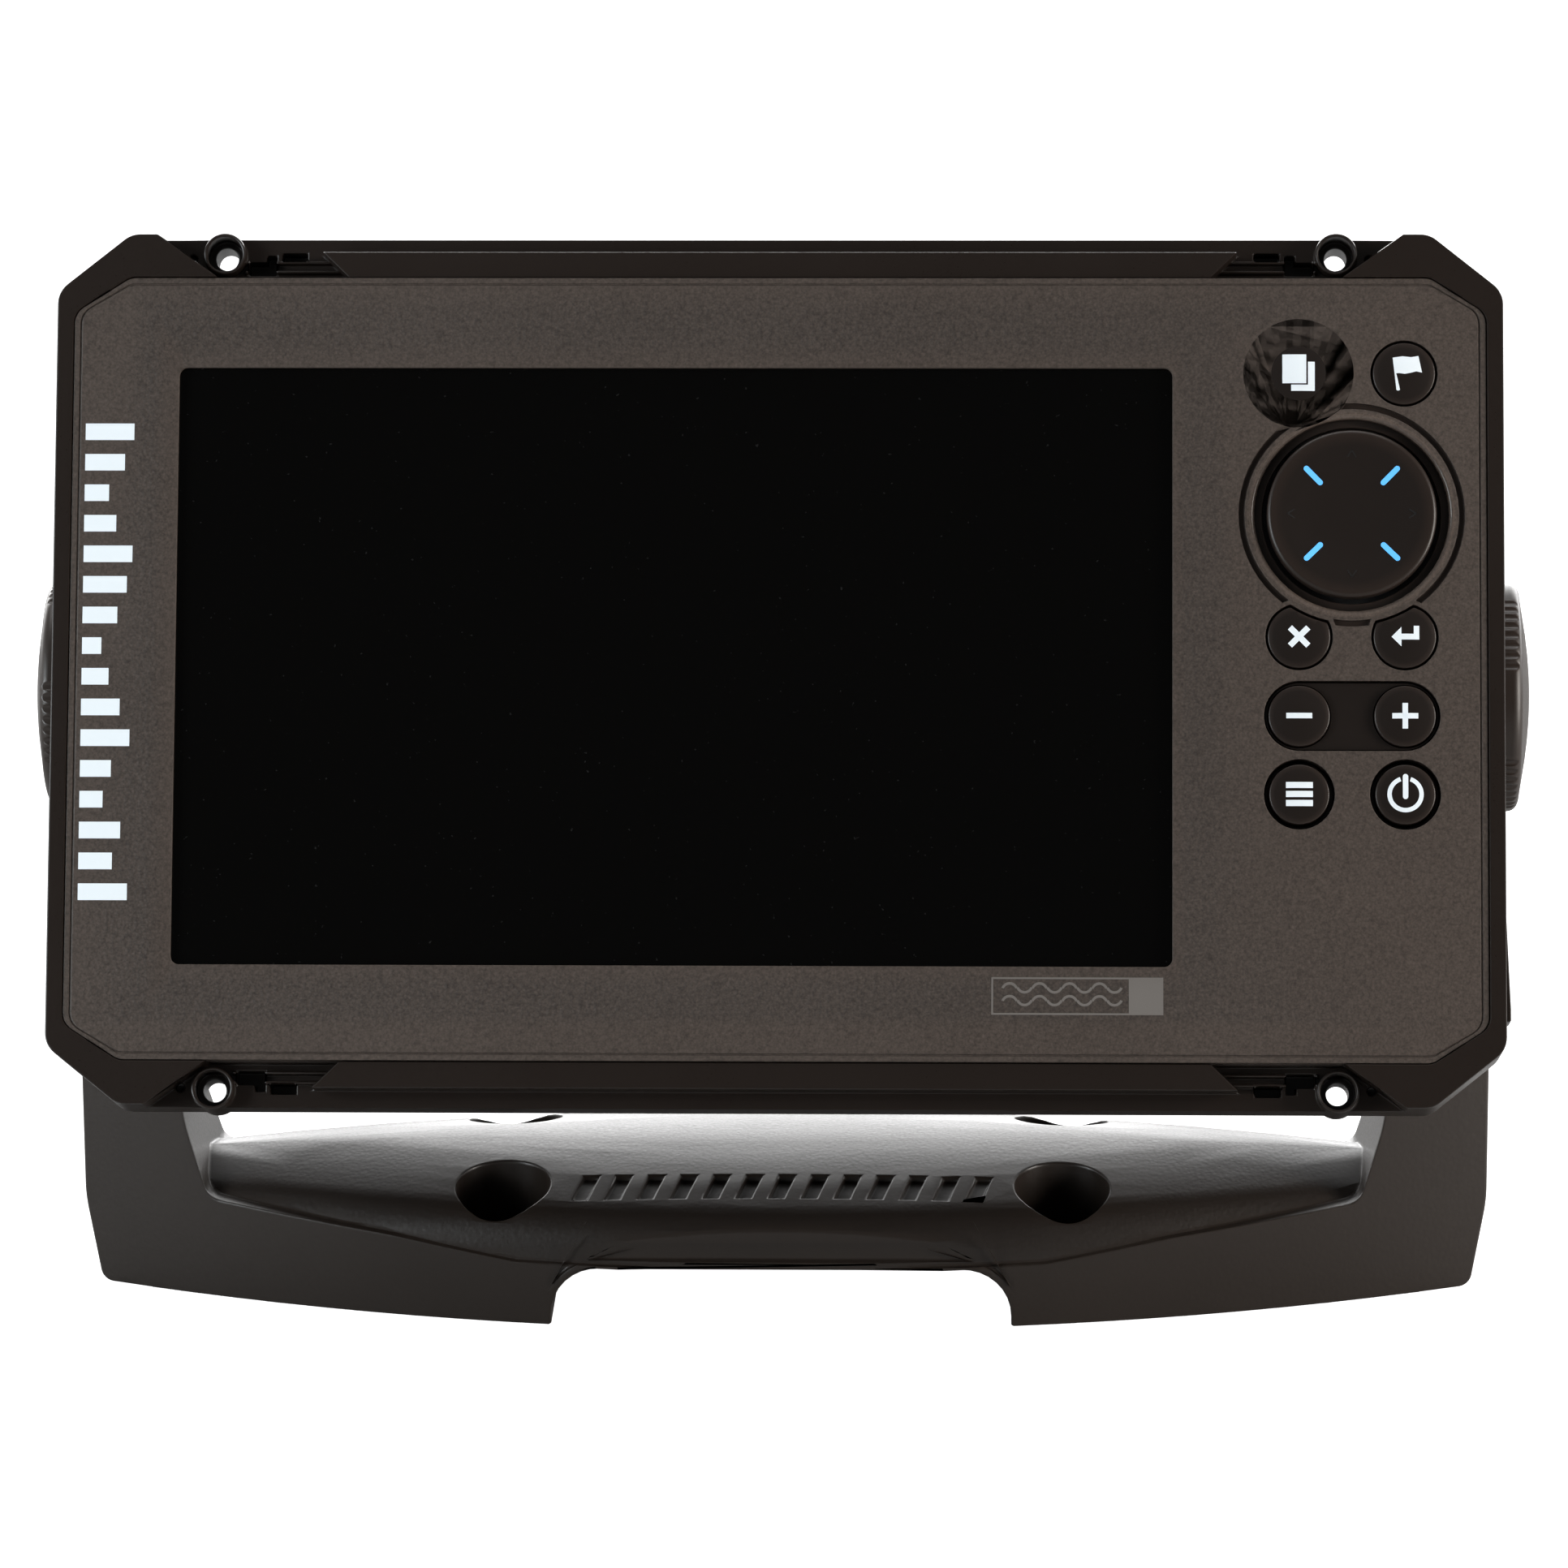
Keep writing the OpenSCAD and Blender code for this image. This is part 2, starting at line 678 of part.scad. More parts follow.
// A round key whose top is cut by an arc about the cursor pad
module cut_key(x, r, arc_gap) difference() {
    translate([x, row_exit]) circle(r = r);
    translate([key_x, row_pad]) circle(r = arc_cut_r + arc_gap);
}

// The C-shaped groove round the cursor pad
module pad_ring() difference() {
    translate([key_x, row_pad, 0]) tube(ring_r1, ring_r0, -0.6, 1);
    disc(key_l, row_top, step_r + 0.2, -2, 2);
    for (x = [key_l, key_r_x]) disc(x, row_exit, ring_break_r, -2, 2);
}

module screen_gasket() color(rubber_black) on_head() slab(glass_top, glass_top + gasket_t)
    translate([sx, sy]) difference() {
    round_rect(screen_w + 2 * glass_edge, screen_h + 2 * glass_edge, 2);
    round_rect(screen_w + 0.6, screen_h + 0.6, screen_r);
}

module screen_glass() color("#0c0d0f") on_head() slab(glass_back, glass_top) translate([sx, sy])
    round_rect(screen_w + 2 * glass_edge, screen_h + 2 * glass_edge, 2);

module lcd_panel() color("#1b1d22") on_head() slab(lcd_top - lcd_t, lcd_top) translate([sx, sy])
    square([screen_w + 2 * lcd_edge, screen_h + 2 * lcd_edge], center = true);

module backlight() color("#e8e8e2") on_head() slab(light_top - light_t, light_top) translate([sx, sy])
    square([screen_w + 2 * lcd_edge, screen_h + 2 * lcd_edge], center = true);

module display_tray() color(steel) on_head() translate([sx, sy, 0]) difference() {
    union() {
        slab(tray_back, tray_back + tray_t) square([2 * tray_x, 2 * tray_y], center = true);
        slab(tray_back, lcd_top - 0.4) difference() {
            square([2 * tray_x, 2 * tray_y], center = true);
            square([2 * (tray_x - tray_wall), 2 * (tray_y - tray_wall)], center = true);
        }
        for (x = tray_ears_x) slab(tray_back, tray_back + tray_t) translate([x, 0])
            square([tray_ear_w, 2 * (tray_y + tray_ear_y)], center = true);
    }
    for (x = tray_ears_x) for (s = [-1, 1])
        disc(x, s * (tray_y + tray_ear_y / 2), small_screw_r + 0.15, tray_back - 1, tray_back + tray_t + 1);
    block(-15, 15, -tray_y + 2, -tray_y + 4, tray_back - 1, tray_back + tray_t + 1);
}

// A small cross-head screw seated with its head's underside at z = 0, pointing down
module small_screw(length) difference() {
    union() {
        disc(0, 0, 2.1, 0, 1.2);
        disc(0, 0, small_screw_r - 0.15, -length, 0);
    }
    for (a = [0, 90]) rotate([0, 0, a]) block(-1.1, 1.1, -0.25, 0.25, 0.6, 2);
}

module tray_screws() color(steel) on_head() tray_screw_places()
    translate([0, 0, tray_back + tray_t]) small_screw(3.6);

// ---- Keys ------------------------------------------------------------------------------------------

// A moulded key: a slightly domed cap, a retaining flange under the bezel and a plunger
module key_body(r, top) {
    intersection() {
        slab(flange_top - eps, top) children();
        translate([0, 0, top - dome_key_r]) sphere(r = dome_key_r, $fn = 96);
    }
    disc(0, 0, r + flange_w, flange_top - flange_t, flange_top);
    disc(0, 0, plunger_r, plunger_tip, flange_top);
}

module round_key(x, y, r) translate([x, y, 0]) key_body(r, key_proud) circle(r = r);

module arc_key(x) translate([x, row_exit, 0]) difference() {
    key_body(key_r, key_proud) translate([-x, -row_exit]) cut_key(x, key_r, 0);
    translate([key_x - x, row_pad - row_exit, flange_top - flange_t - 1])
        cylinder(r = pad_r + pad_gap + flange_w + 0.5, h = flange_t + 2);
}

module pages_key() color(key_black) on_head() round_key(key_l, row_top, pages_r);
module waypoint_key() color(key_black) on_head() round_key(key_r_x, row_top, key_r);
module exit_key() color(key_black) on_head() arc_key(key_l);
module enter_key() color(key_black) on_head() arc_key(key_r_x);
module menu_key() color(key_black) on_head() round_key(key_l, row_menu, key_r - 0.2);
module power_key() color(key_black) on_head() round_key(key_r_x, row_menu, key_r - 0.2);

// The zoom keys lie on a common bridge, which their flanges clear
module zoom_key(x) translate([x, row_zoom, 0]) {
    intersection() {
        disc(0, 0, zoom_key_r, flange_top - flange_t, key_proud - 0.1);
        translate([0, 0, key_proud - 0.1 - dome_key_r]) sphere(r = dome_key_r, $fn = 96);
    }
    disc(0, 0, plunger_r, plunger_tip, flange_top);
}

module minus_key() color(key_black) on_head() zoom_key(key_l);
module plus_key() color(key_black) on_head() zoom_key(key_r_x);

module zoom_bridge() color(key_black) on_head() difference() {
    slab(mat_top, -0.9) difference() {
        union() {
            translate([key_x, row_zoom]) square([2 * key_half, 2 * (zoom_r - 0.25)], center = true);
            for (x = [key_l, key_r_x]) translate([x, row_zoom]) circle(r = zoom_r - 0.25);
        }
        for (x = [key_l, key_r_x]) translate([x, row_zoom]) circle(r = zoom_key_r + 0.2);
    }
}

// The cursor pad rocks on its plunger in two directions
module cursor_pad() color(key_black) on_head() translate([key_x, row_pad, 0]) difference() {
    union() {
        translate([0, 0, -bezel_t + 0.9]) rotate_extrude($fn = 128) polygon([
            [0, 0], [pad_r - 0.5, 0], [pad_r, 0.6], [pad_r, 3.1], [pad_r - 0.5, 3.5], [pad_r - 2.4, 3.4],
            [pad_r - 5, 3.05], [4.5, 2.75], [0, 2.7]
        ]);
        for (a = [0:90:270]) rotate([0, 0, a])
            disc(pad_tip_r, 0, 1, plunger_tip + 0.2, -bezel_t + 1);
    }
    disc(0, 0, 2.35, -bezel_t, pad_pivot_z + 1.2);
    block(-2.4, 2.4, -2.4, 2.4, -bezel_t, pad_pivot_z + 1.2);
}

// The pad's centre post, which carries the other rocking axis and the centre press
module cursor_plunger() color(rubber_black) on_head() translate([key_x, row_pad, 0]) {
    disc(0, 0, 2, plunger_tip + 0.1, pad_pivot_z + 0.9);
    block(-2, 2, -2, 2, pad_pivot_z - 0.4, pad_pivot_z + 0.9);
}

module key_mat() color("#4d4d4d") on_head() difference() {
    slab(mat_top - mat_t, mat_top) polygon(outline([
        [keyboard_x1, keyboard_y1, 3], [keyboard_x0, keyboard_y1, 3],
        [keyboard_x0, mat_y0, 3], [keyboard_x1, mat_y0, 3]
    ]));
    for (x = [key_l, key_r_x]) for (y = [row_top, row_exit, row_zoom, row_menu])
        disc(x, y, plunger_r + 0.5, mat_top - mat_t - 1, mat_top + 1);
    translate([key_x, row_pad, 0]) {
        disc(0, 0, 3.2, mat_top - mat_t - 1, mat_top + 1);
        for (a = [0:90:270]) rotate([0, 0, a]) disc(pad_tip_r, 0, 1.9, mat_top - mat_t - 1, mat_top + 1);
    }
    keypad_screw_places() disc(0, 0, 2.6, mat_top - mat_t - 1, mat_top + 1);
}

module keypad_board() color(board_green) on_head() difference() {
    slab(keyboard_back, keyboard_top) polygon(outline([
        [keyboard_x1, keyboard_y1, 1], [keyboard_x0, keyboard_y1, 1],
        [keyboard_x0, keyboard_y0, 1], [keyboard_x1, keyboard_y0, 1]
    ]));
    keypad_screw_places() disc(0, 0, small_screw_r + 0.15, keyboard_back - 1, keyboard_top + 1);
    case_posts() disc(0, 0, post_r + 0.4, keyboard_back - 1, keyboard_top + 1);
}

module key_domes() color(steel) on_head() {
    for (x = [key_l, key_r_x]) for (y = [row_top, row_exit, row_zoom, row_menu]) snap_dome(x, y);
    snap_dome(key_x, row_pad);
    for (a = [0:90:270]) snap_dome(key_x + pad_tip_r * cos(a), row_pad + pad_tip_r * sin(a));
}

module snap_dome(x, y) translate([x, y, keyboard_top]) cylinder(r1 = snap_r, r2 = 0.9, h = snap_t);

module keypad_screws() color(steel) on_head() keypad_screw_places()
    translate([0, 0, keyboard_top]) small_screw(3.4);

// ---- Card reader and its door --------------------------------------------------------------------

module card_reader() color(steel) on_head() difference() {
    block(cavity_x - 15, cavity_x - 0.6, card_y - 7.2, card_y + 7.2, keyboard_top, card_z + 1);
    block(cavity_x - 14, cavity_x, card_y - 5.6, card_y + 5.6, card_z - 0.6, card_z + 0.6);
}

// The door's outline, seen from the front: a plate with a finger lip, on a knuckle at its upper end
module card_door() color(frame_grey) on_head() difference() {
    slab(door_z0, door_z1) union() {
        polygon([
            [hx - door_t, door_y0], [hx + door_bulge, door_y0],
            [hx + door_bulge, door_y0 + 2], [hx, door_y1 - 6.1],
            [hx, door_pin_y - 2.6], [hx - door_t, door_pin_y - 2.6]
        ]);
        translate([hx - door_t, door_pin_y - 3]) square([2.3, 3]);
        translate([door_pin_x, door_pin_y]) circle(r = door_knuckle_r);
    }
    disc(door_pin_x, door_pin_y, door_pin_r + door_pin_gap, door_z0 - 1, door_z1 + 1);
}

module card_door_seal() color("#3f6f8f") on_head() difference() {
    block(hx - door_depth + 0.05, hx - door_t, card_y - 8.4, card_y + 8.4, card_z - 3, card_z + 3);
    block(hx - door_depth - 1, hx, card_y - 7, card_y + 7, card_z - 1.8, card_z + 1.8);
}

module door_hinge_pin() color(steel) on_head()
    disc(door_pin_x, door_pin_y, door_pin_r, door_z0 - 1.1, door_z1 + 1.1);

// ---- Electronics ---------------------------------------------------------------------------------

module standoff_places() for (u = [-1, 1]) for (v = [-1, 1])
    translate([main_x + u * (main_w / 2 - standoff_in), v * (main_h / 2 - standoff_in), 0]) children();

module main_board() color(board_green) on_head() difference() {
    slab(main_top - board_t, main_top) translate([main_x, 0]) round_rect(main_w, main_h, 2);
    standoff_places() disc(0, 0, small_screw_r + 0.15, main_top - board_t - 1, main_top + 1);
}

module board_standoffs() color(brass) on_head() standoff_places() difference() {
    translate([0, 0, main_top]) cylinder(r = standoff_r, h = tray_back - main_top, $fn = 6);
    disc(0, 0, small_screw_r - 0.15, main_top - 1, main_top + 5);
}

module board_screws() color(steel) on_head() standoff_places() translate([0, 0, main_top - board_t])
    rotate([180, 0, 0]) small_screw(5.4);

module processor_shield() color(steel) on_head() slab(board_under - shield_t, board_under)
    translate([shield_x, shield_y]) square([shield_w, shield_w - 4], center = true);

module heat_spreader() color("#c9ccd0") on_head() {
    slab(fin_root, board_under - shield_t) translate([shield_x, shield_y])
        square([shield_w, shield_w - 4], center = true);
    for (i = [-5:5]) translate([shield_x + i * fin_pitch, 0, 0])
        block(-0.6, 0.6, shield_y - 20, shield_y + 20, fin_root - fin_h, fin_root);
}

module gps_antenna() color("#d9c9a3") on_head()
    block(main_x + 36, main_x + 61, 12, 37, board_under - patch_t, board_under);

module buzzer() color(rubber_black) on_head() difference() {
    disc(buzzer_x, buzzer_y, 6.5, board_under - buzzer_t, board_under);
    disc(buzzer_x, buzzer_y, 1.2, board_under - buzzer_t - 1, board_under - buzzer_t + 1.5);
}

module board_headers() color("#e6e2d6") on_head() {
    for (x = [main_x - 6, main_x + 24]) block(x - 8, x + 8, -42, -36, board_under - back_header_t, board_under);
    block(sx - 14, sx + 14, -sy - 40, -sy - 36, main_top, main_top + header_t);
    block(main_x + main_w / 2 - 5, main_x + main_w / 2 - 1, 15, 33, main_top, main_top + header_t);
}

// Flat cables: a folded strip seen from the side
module display_ribbon() color(gold) on_head() rotate([90, 0, 90]) translate([0, 0, sx - 12])
    linear_extrude(24) polygon([
        [-tray_y + 2.8 + sy, light_top - light_t], [-tray_y + 2.8 + sy, ribbon_z + ribbon_t],
        [-sy - 40, ribbon_z + ribbon_t], [-sy - 40, ribbon_z],
        [-tray_y + 2.8 - ribbon_t + sy, ribbon_z], [-tray_y + 2.8 - ribbon_t + sy, light_top - light_t]
]);

module keypad_ribbon() color(gold) on_head() rotate([90, 0, 0]) translate([0, 0, -32])
    linear_extrude(16) polygon([
    [keyboard_x0 + 2.7, keyboard_back], [keyboard_x0 + 2.7, ribbon_z], [main_x + main_w / 2 - 1, ribbon_z],
    [main_x + main_w / 2 - 1, ribbon_z + ribbon_t], [keyboard_x0 + 2.7 - ribbon_t, ribbon_z + ribbon_t],
    [keyboard_x0 + 2.7 - ribbon_t, keyboard_back]
]);

// ---- Rear case -----------------------------------------------------------------------------------

module case_outline(inset) polygon(outline(four_way([
    [case_x - inset, case_lean_y, 0], [case_x_end - inset, case_y - 7, 3],
    [case_x_end - inset - 7, case_y - inset, 3]
]), 3));

module case_solid(inset) intersection() {
    slab(-head_d + inset, -frame_d + (inset > 0 ? 1 : 0)) case_outline(inset);
    rotate([90, 0, 90]) translate([0, 0, -2 * hx]) linear_extrude(4 * hx) polygon([
        [case_y - inset, -frame_d + 2], [case_y - inset, -case_shoulder],
        [case_back_y - inset * 0.7, -head_d + inset], [-case_back_y + inset * 0.7, -head_d + inset],
        [-case_y + inset, -case_shoulder], [-case_y + inset, -frame_d + 2]
    ]);
}

module seal_path(z0, z1) slab(z0, z1) difference() {
    case_outline(seal_in);
    case_outline(seal_in + seal_w);
}

module case_seal() color("#59636b") on_head() seal_path(-frame_d, -frame_d + seal_d);

module rear_case() color(frame_grey) on_head() difference() {
    union() {
        difference() {
            case_solid(0);
            case_solid(case_wall);
        }
        slab(-frame_d - rim_t, -frame_d) difference() {
            case_outline(0);
            case_outline(rim_w);
        }
        intersection() {
            case_posts() disc(0, 0, case_boss_r, -head_d, -frame_d);
            case_solid(0);
        }
        translate([0, 0, -pivot_depth]) rotate([0, 90, 0]) both_ends() disc(0, 0, boss_r, boss_in, boss_out);
        block(bay_x - bay_w / 2 - case_wall, bay_x + bay_w / 2 + case_wall, bay_y - bay_h / 2 - case_wall,
            bay_y + bay_h / 2 + case_wall, -head_d + 1, bay_inner);
        for (i = [0:5]) intersection() {
            block(-60 + i * 24 - 1, -60 + i * 24 + 1, -case_y, case_y, -head_d - 1, -head_d + 2);
            translate([0, 0, -1]) case_solid(0);
            block(-over * 2, over * 2, 12, case_back_y - 4, -head_d - 1, 0);
        }
    }
    case_posts() {
        disc(0, 0, case_screw_r + 0.25, -head_d, 0);
        disc(0, 0, case_well_r, -head_d - 2, -frame_d - rim_t);
    }
    translate([0, 0, -pivot_depth]) rotate([0, 90, 0]) both_ends() disc(0, 0, insert_r, insert_in, boss_out + 1);
    translate([0, 0, -pivot_depth]) rotate([0, 90, 0]) both_ends()
        disc(0, 0, stud_r + 0.6, boss_in - 1, insert_in + 1);
    slab(-head_d - 2, bay_floor) translate([bay_x, bay_y]) round_rect(bay_w, bay_h, 4);
    for (s = [-1, 1]) disc(bay_x + s * socket_pitch / 2, bay_y, socket_shank_r, bay_floor - 1, bay_inner + 1);
    slab(-head_d - 2, -head_d + 0.5) translate([0, -case_back_y + 5.5]) square([46.4, 7.4], center = true);
}

module case_screws() color(steel) on_head() case_posts() difference() {
    union() {
        disc(0, 0, case_head_r, -frame_d - rim_t - case_head_t, -frame_d - rim_t);
        disc(0, 0, case_screw_r - 0.2, -frame_d - rim_t, -frame_d + 5.5);
    }
    disc(0, 0, 1.2, -frame_d - rim_t - case_head_t - 1, -frame_d - rim_t - 0.8, $fn = 6);
}

// A round panel socket: collar outside, shank through the wall and a nut inside
module socket_body() difference() {
    union() {
        disc(0, 0, socket_r, bay_floor - socket_len, bay_floor);
        disc(0, 0, socket_shank_r, bay_floor, bay_inner);
        disc(0, 0, nut_r, bay_inner, bay_inner + nut_t, $fn = 6);
    }
    disc(0, 0, socket_cup_r, bay_floor - socket_len - 1, bay_floor + 0.6);
    tube(socket_r + 1, socket_r - 0.5, bay_floor - socket_len - 0.1, bay_floor - socket_len + 0.6);
    for (z = [1.6, 3.4, 5.2]) translate([0, 0, bay_floor - socket_len + z])
        tube(socket_r + 1, socket_r - 0.5, 0, 0.8);
    block(-1.2, 1.2, socket_cup_r - 0.5, socket_cup_r + 1, bay_floor - socket_len - 1, bay_floor - 1);
}

module socket_pins(n, ring) for (i = [0:n - 1]) rotate([0, 0, i * 360 / n])
    disc(ring, 0, pin_r, pin_tip, bay_floor + 0.6);

module at_socket(s) on_head() translate([bay_x + s * socket_pitch / 2, bay_y, 0]) children();

module power_socket() color(rubber_black) at_socket(-1) socket_body();
module power_pins() color(gold) at_socket(-1) socket_pins(4, pin_ring);
module sonar_socket() color(rubber_black) at_socket(1) socket_body();
module sonar_pins() color(gold) at_socket(1) {
    socket_pins(6, pin_ring + 0.8);
    disc(0, 0, pin_r, pin_tip, bay_floor + 0.6);
}

module rating_plate() color("#c8c8c4") on_head() slab(-head_d, -head_d + 0.5) translate([0, -case_back_y + 5.5])
    square([46, 7], center = true);

bracket();
knob_right();
knob_left();
knob_stud_right();
knob_stud_left();
thrust_washer_right();
thrust_washer_left();
friction_washer_right();
friction_washer_left();
pivot_insert_right();
pivot_insert_left();
front_frame();
front_bezel();
screen_gasket();
screen_glass();
lcd_panel();
backlight();
display_tray();
tray_screws();
key_mat();
zoom_bridge();
pages_key();
waypoint_key();
cursor_pad();
cursor_plunger();
exit_key();
enter_key();
minus_key();
plus_key();
menu_key();
power_key();
keypad_board();
key_domes();
keypad_screws();
card_reader();
card_door();
card_door_seal();
door_hinge_pin();
main_board();
board_standoffs();
board_screws();
processor_shield();
heat_spreader();
gps_antenna();
buzzer();
board_headers();
display_ribbon();
keypad_ribbon();
case_seal();
rear_case();
case_screws();
power_socket();
power_pins();
sonar_socket();
sonar_pins();
rating_plate();
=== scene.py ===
# %% [markdown]
# # A chartplotter display in its gimbal bracket
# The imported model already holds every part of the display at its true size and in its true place. This
# lesson gives each part the look of the real thing: soft moulded edges, pebbled and grained plastics, printed
# symbols on the keys, and plain studio light. Nothing here moves a part or changes its size.

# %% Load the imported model
import json
import math

import bmesh
import bpy
from mathutils import Matrix, Vector
from mathutils.bvhtree import BVHTree


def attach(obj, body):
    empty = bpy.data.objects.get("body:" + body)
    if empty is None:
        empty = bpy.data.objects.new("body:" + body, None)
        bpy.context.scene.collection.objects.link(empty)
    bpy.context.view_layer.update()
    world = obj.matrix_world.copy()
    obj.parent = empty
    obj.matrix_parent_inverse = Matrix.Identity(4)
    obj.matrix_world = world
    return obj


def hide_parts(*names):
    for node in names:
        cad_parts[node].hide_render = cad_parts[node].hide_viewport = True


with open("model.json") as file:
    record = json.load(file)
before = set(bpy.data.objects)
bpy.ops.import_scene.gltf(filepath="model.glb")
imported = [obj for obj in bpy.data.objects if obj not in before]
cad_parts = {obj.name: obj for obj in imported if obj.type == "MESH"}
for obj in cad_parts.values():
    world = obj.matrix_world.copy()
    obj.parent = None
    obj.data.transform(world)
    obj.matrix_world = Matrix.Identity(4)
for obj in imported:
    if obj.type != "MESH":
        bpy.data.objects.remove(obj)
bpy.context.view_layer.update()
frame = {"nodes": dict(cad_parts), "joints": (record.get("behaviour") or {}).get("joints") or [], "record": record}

MM = 0.001

# %% [markdown]
# ## The face's own frame
# The head leans back, so nothing on its face lies along the scene's axes. The joints say how it leans: the
# card door swings about the line that points straight out of the face, and the cursor pad's second rocking
# axis points up the face. With those two directions and the bezel's front surface, a point can be given as
# millimetres across, up and out of the face.

# %% Find the face
joints = {joint["name"]: joint for joint in frame["joints"]}
pivot = Vector(joints["head_tilt"]["pos_m"])
out_of_face = Vector(joints["card_door_swing"]["axis"]).normalized()
up_face = Vector(joints["pad_rock_left_right"]["axis"]).normalized()
front = max((v.co - pivot).dot(out_of_face) for v in frame["nodes"]["front_bezel"].data.vertices)
FACE = Matrix.Translation(pivot + out_of_face * front) @ Matrix((
    (1, 0, 0, 0),
    (0, up_face.y, out_of_face.y, 0),
    (0, up_face.z, out_of_face.z, 0),
    (0, 0, 0, 1),
)) @ Matrix.Scale(MM, 4)
FROM_FACE = FACE.inverted()


def face_box(node):
    """The lowest and highest corners of a part in the face's frame, in millimetres."""
    points = [FROM_FACE @ v.co for v in frame["nodes"][node].data.vertices]
    return [Vector(end(p[axis] for p in points) for axis in range(3)) for end in (min, max)]


lean = math.degrees(math.asin(out_of_face.z))
print(f"the face leans back {lean:.1f} degrees and lies {front * 1000:.1f} mm before the tilt axis")

# %% [markdown]
# ## Writing shaders as sums
# A material is a network of nodes, and most of its nodes are small sums. A wire wraps one output socket, so
# that `1 - grain * 0.3` adds the two Math nodes it needs. Every other node goes through one method that
# takes the node's type, its settings and the values of its sockets. It keeps each recipe to a few lines.

# %% A socket that knows arithmetic
class Wire:
    """One output of a material's nodes."""

    def __init__(self, paint, socket):
        self.paint, self.socket = paint, socket

    def math(self, operation, *values):
        return self.paint.node("ShaderNodeMath", {"operation": operation}, dict(enumerate(values)))

    def __add__(self, other):
        return self.math("ADD", self, other)

    def __sub__(self, other):
        return self.math("SUBTRACT", self, other)

    def __rsub__(self, other):
        return self.math("SUBTRACT", other, self)

    def __mul__(self, other):
        return self.math("MULTIPLY", self, other)

    __radd__ = __add__
    __rmul__ = __mul__

    def between(self, low, high):
        """0 below low, 1 above high, and a smooth rise from one to the other."""
        settings = {"interpolation_type": "SMOOTHSTEP"}
        inputs = {"Value": self, "From Min": low, "From Max": high}
        return self.paint.node("ShaderNodeMapRange", settings, inputs)


class Paint:
    """A node tree and the one shader that it feeds."""

    def __init__(self, name, **fixed):
        self.material = bpy.data.materials.new(name)
        self.material.use_nodes = True
        self.tree = self.material.node_tree
        self.shader = self.tree.nodes["Principled BSDF"]
        for socket, value in fixed.items():
            self.shader.inputs[socket.replace("_", " ")].default_value = value

    def node(self, kind, settings=None, inputs=None, out=0):
        made = self.tree.nodes.new(kind)
        for setting, value in (settings or {}).items():
            if setting == "stops":
                self.set_stops(made.color_ramp, value)
            else:
                setattr(made, setting, value)
        for socket, value in (inputs or {}).items():
            self.put(made.inputs[socket], value)
        return Wire(self, made.outputs[out])

    def set_stops(self, ramp, stops):
        while len(ramp.elements) < len(stops):
            ramp.elements.new(1)
        for element, (position, colour) in zip(ramp.elements, stops):
            element.position, element.color = position, colour

    def put(self, socket, value):
        if isinstance(value, Wire):
            self.tree.links.new(value.socket, socket)
        else:
            socket.default_value = value

    def feed(self, **sockets):
        for socket, value in sockets.items():
            self.put(self.shader.inputs[socket.replace("_", " ")], value)

    def place(self):
        """Where the point is on the object, in metres."""
        return self.node("ShaderNodeTexCoord", out="Object")

    def noise(self, size_mm, detail=2.0, place=None):
        inputs = {"Vector": place or self.place(), "Scale": 1 / (size_mm * MM), "Detail": detail}
        return self.node("ShaderNodeTexNoise", None, inputs)

    def cells(self, size_mm, feature="F1", place=None):
        inputs = {"Vector": place or self.place(), "Scale": 1 / (size_mm * MM)}
        return self.node("ShaderNodeTexVoronoi", {"feature": feature}, inputs)

    def mix(self, factor, first, second):
        """A blend of two colours."""
        return self.node("ShaderNodeMix", {"data_type": "RGBA"}, {0: factor, 6: first, 7: second}, out=2)

    def bump(self, height, depth_mm, strength=1.0):
        inputs = {"Height": height, "Distance": depth_mm * MM, "Strength": strength}
        return self.node("ShaderNodeBump", None, inputs)

    def rubbed(self):
        """1 on the rounded edges, which the plastics lighten as wear and as painted highlight, more on the well's
        rim, a painted highlight, and 0 elsewhere.
        """
        return self.node("ShaderNodeAttribute", {"attribute_name": "rubbed"}, out="Fac")


def tint(colour, factor):
    """A colour made lighter or darker, with the alpha that sockets want."""
    return (*(min(1.0, c * factor) for c in colour[:3]), 1.0)


print("shader helpers ready")

# %% [markdown]
# ## Moulded plastics
# A moulded part takes its grain from the mould. The front plate has fine round pebbles, the bracket has a
# softer and coarser grain, and the frame and the keys are nearly smooth. One recipe makes them all: cells or
# noise for the grain's height, a broad noise for the faint cloudiness that plastic has, a speckle of lighter
# and darker grain that also paints glints on the pebbles as painted highlights, and lighter, smoother edges
# where it is handled, lightened partly as wear and partly as a painted highlight. Only the tones and sizes
# differ, so they are the recipe's parameters.

# %% Moulded plastic
CLOUD_MM = 38


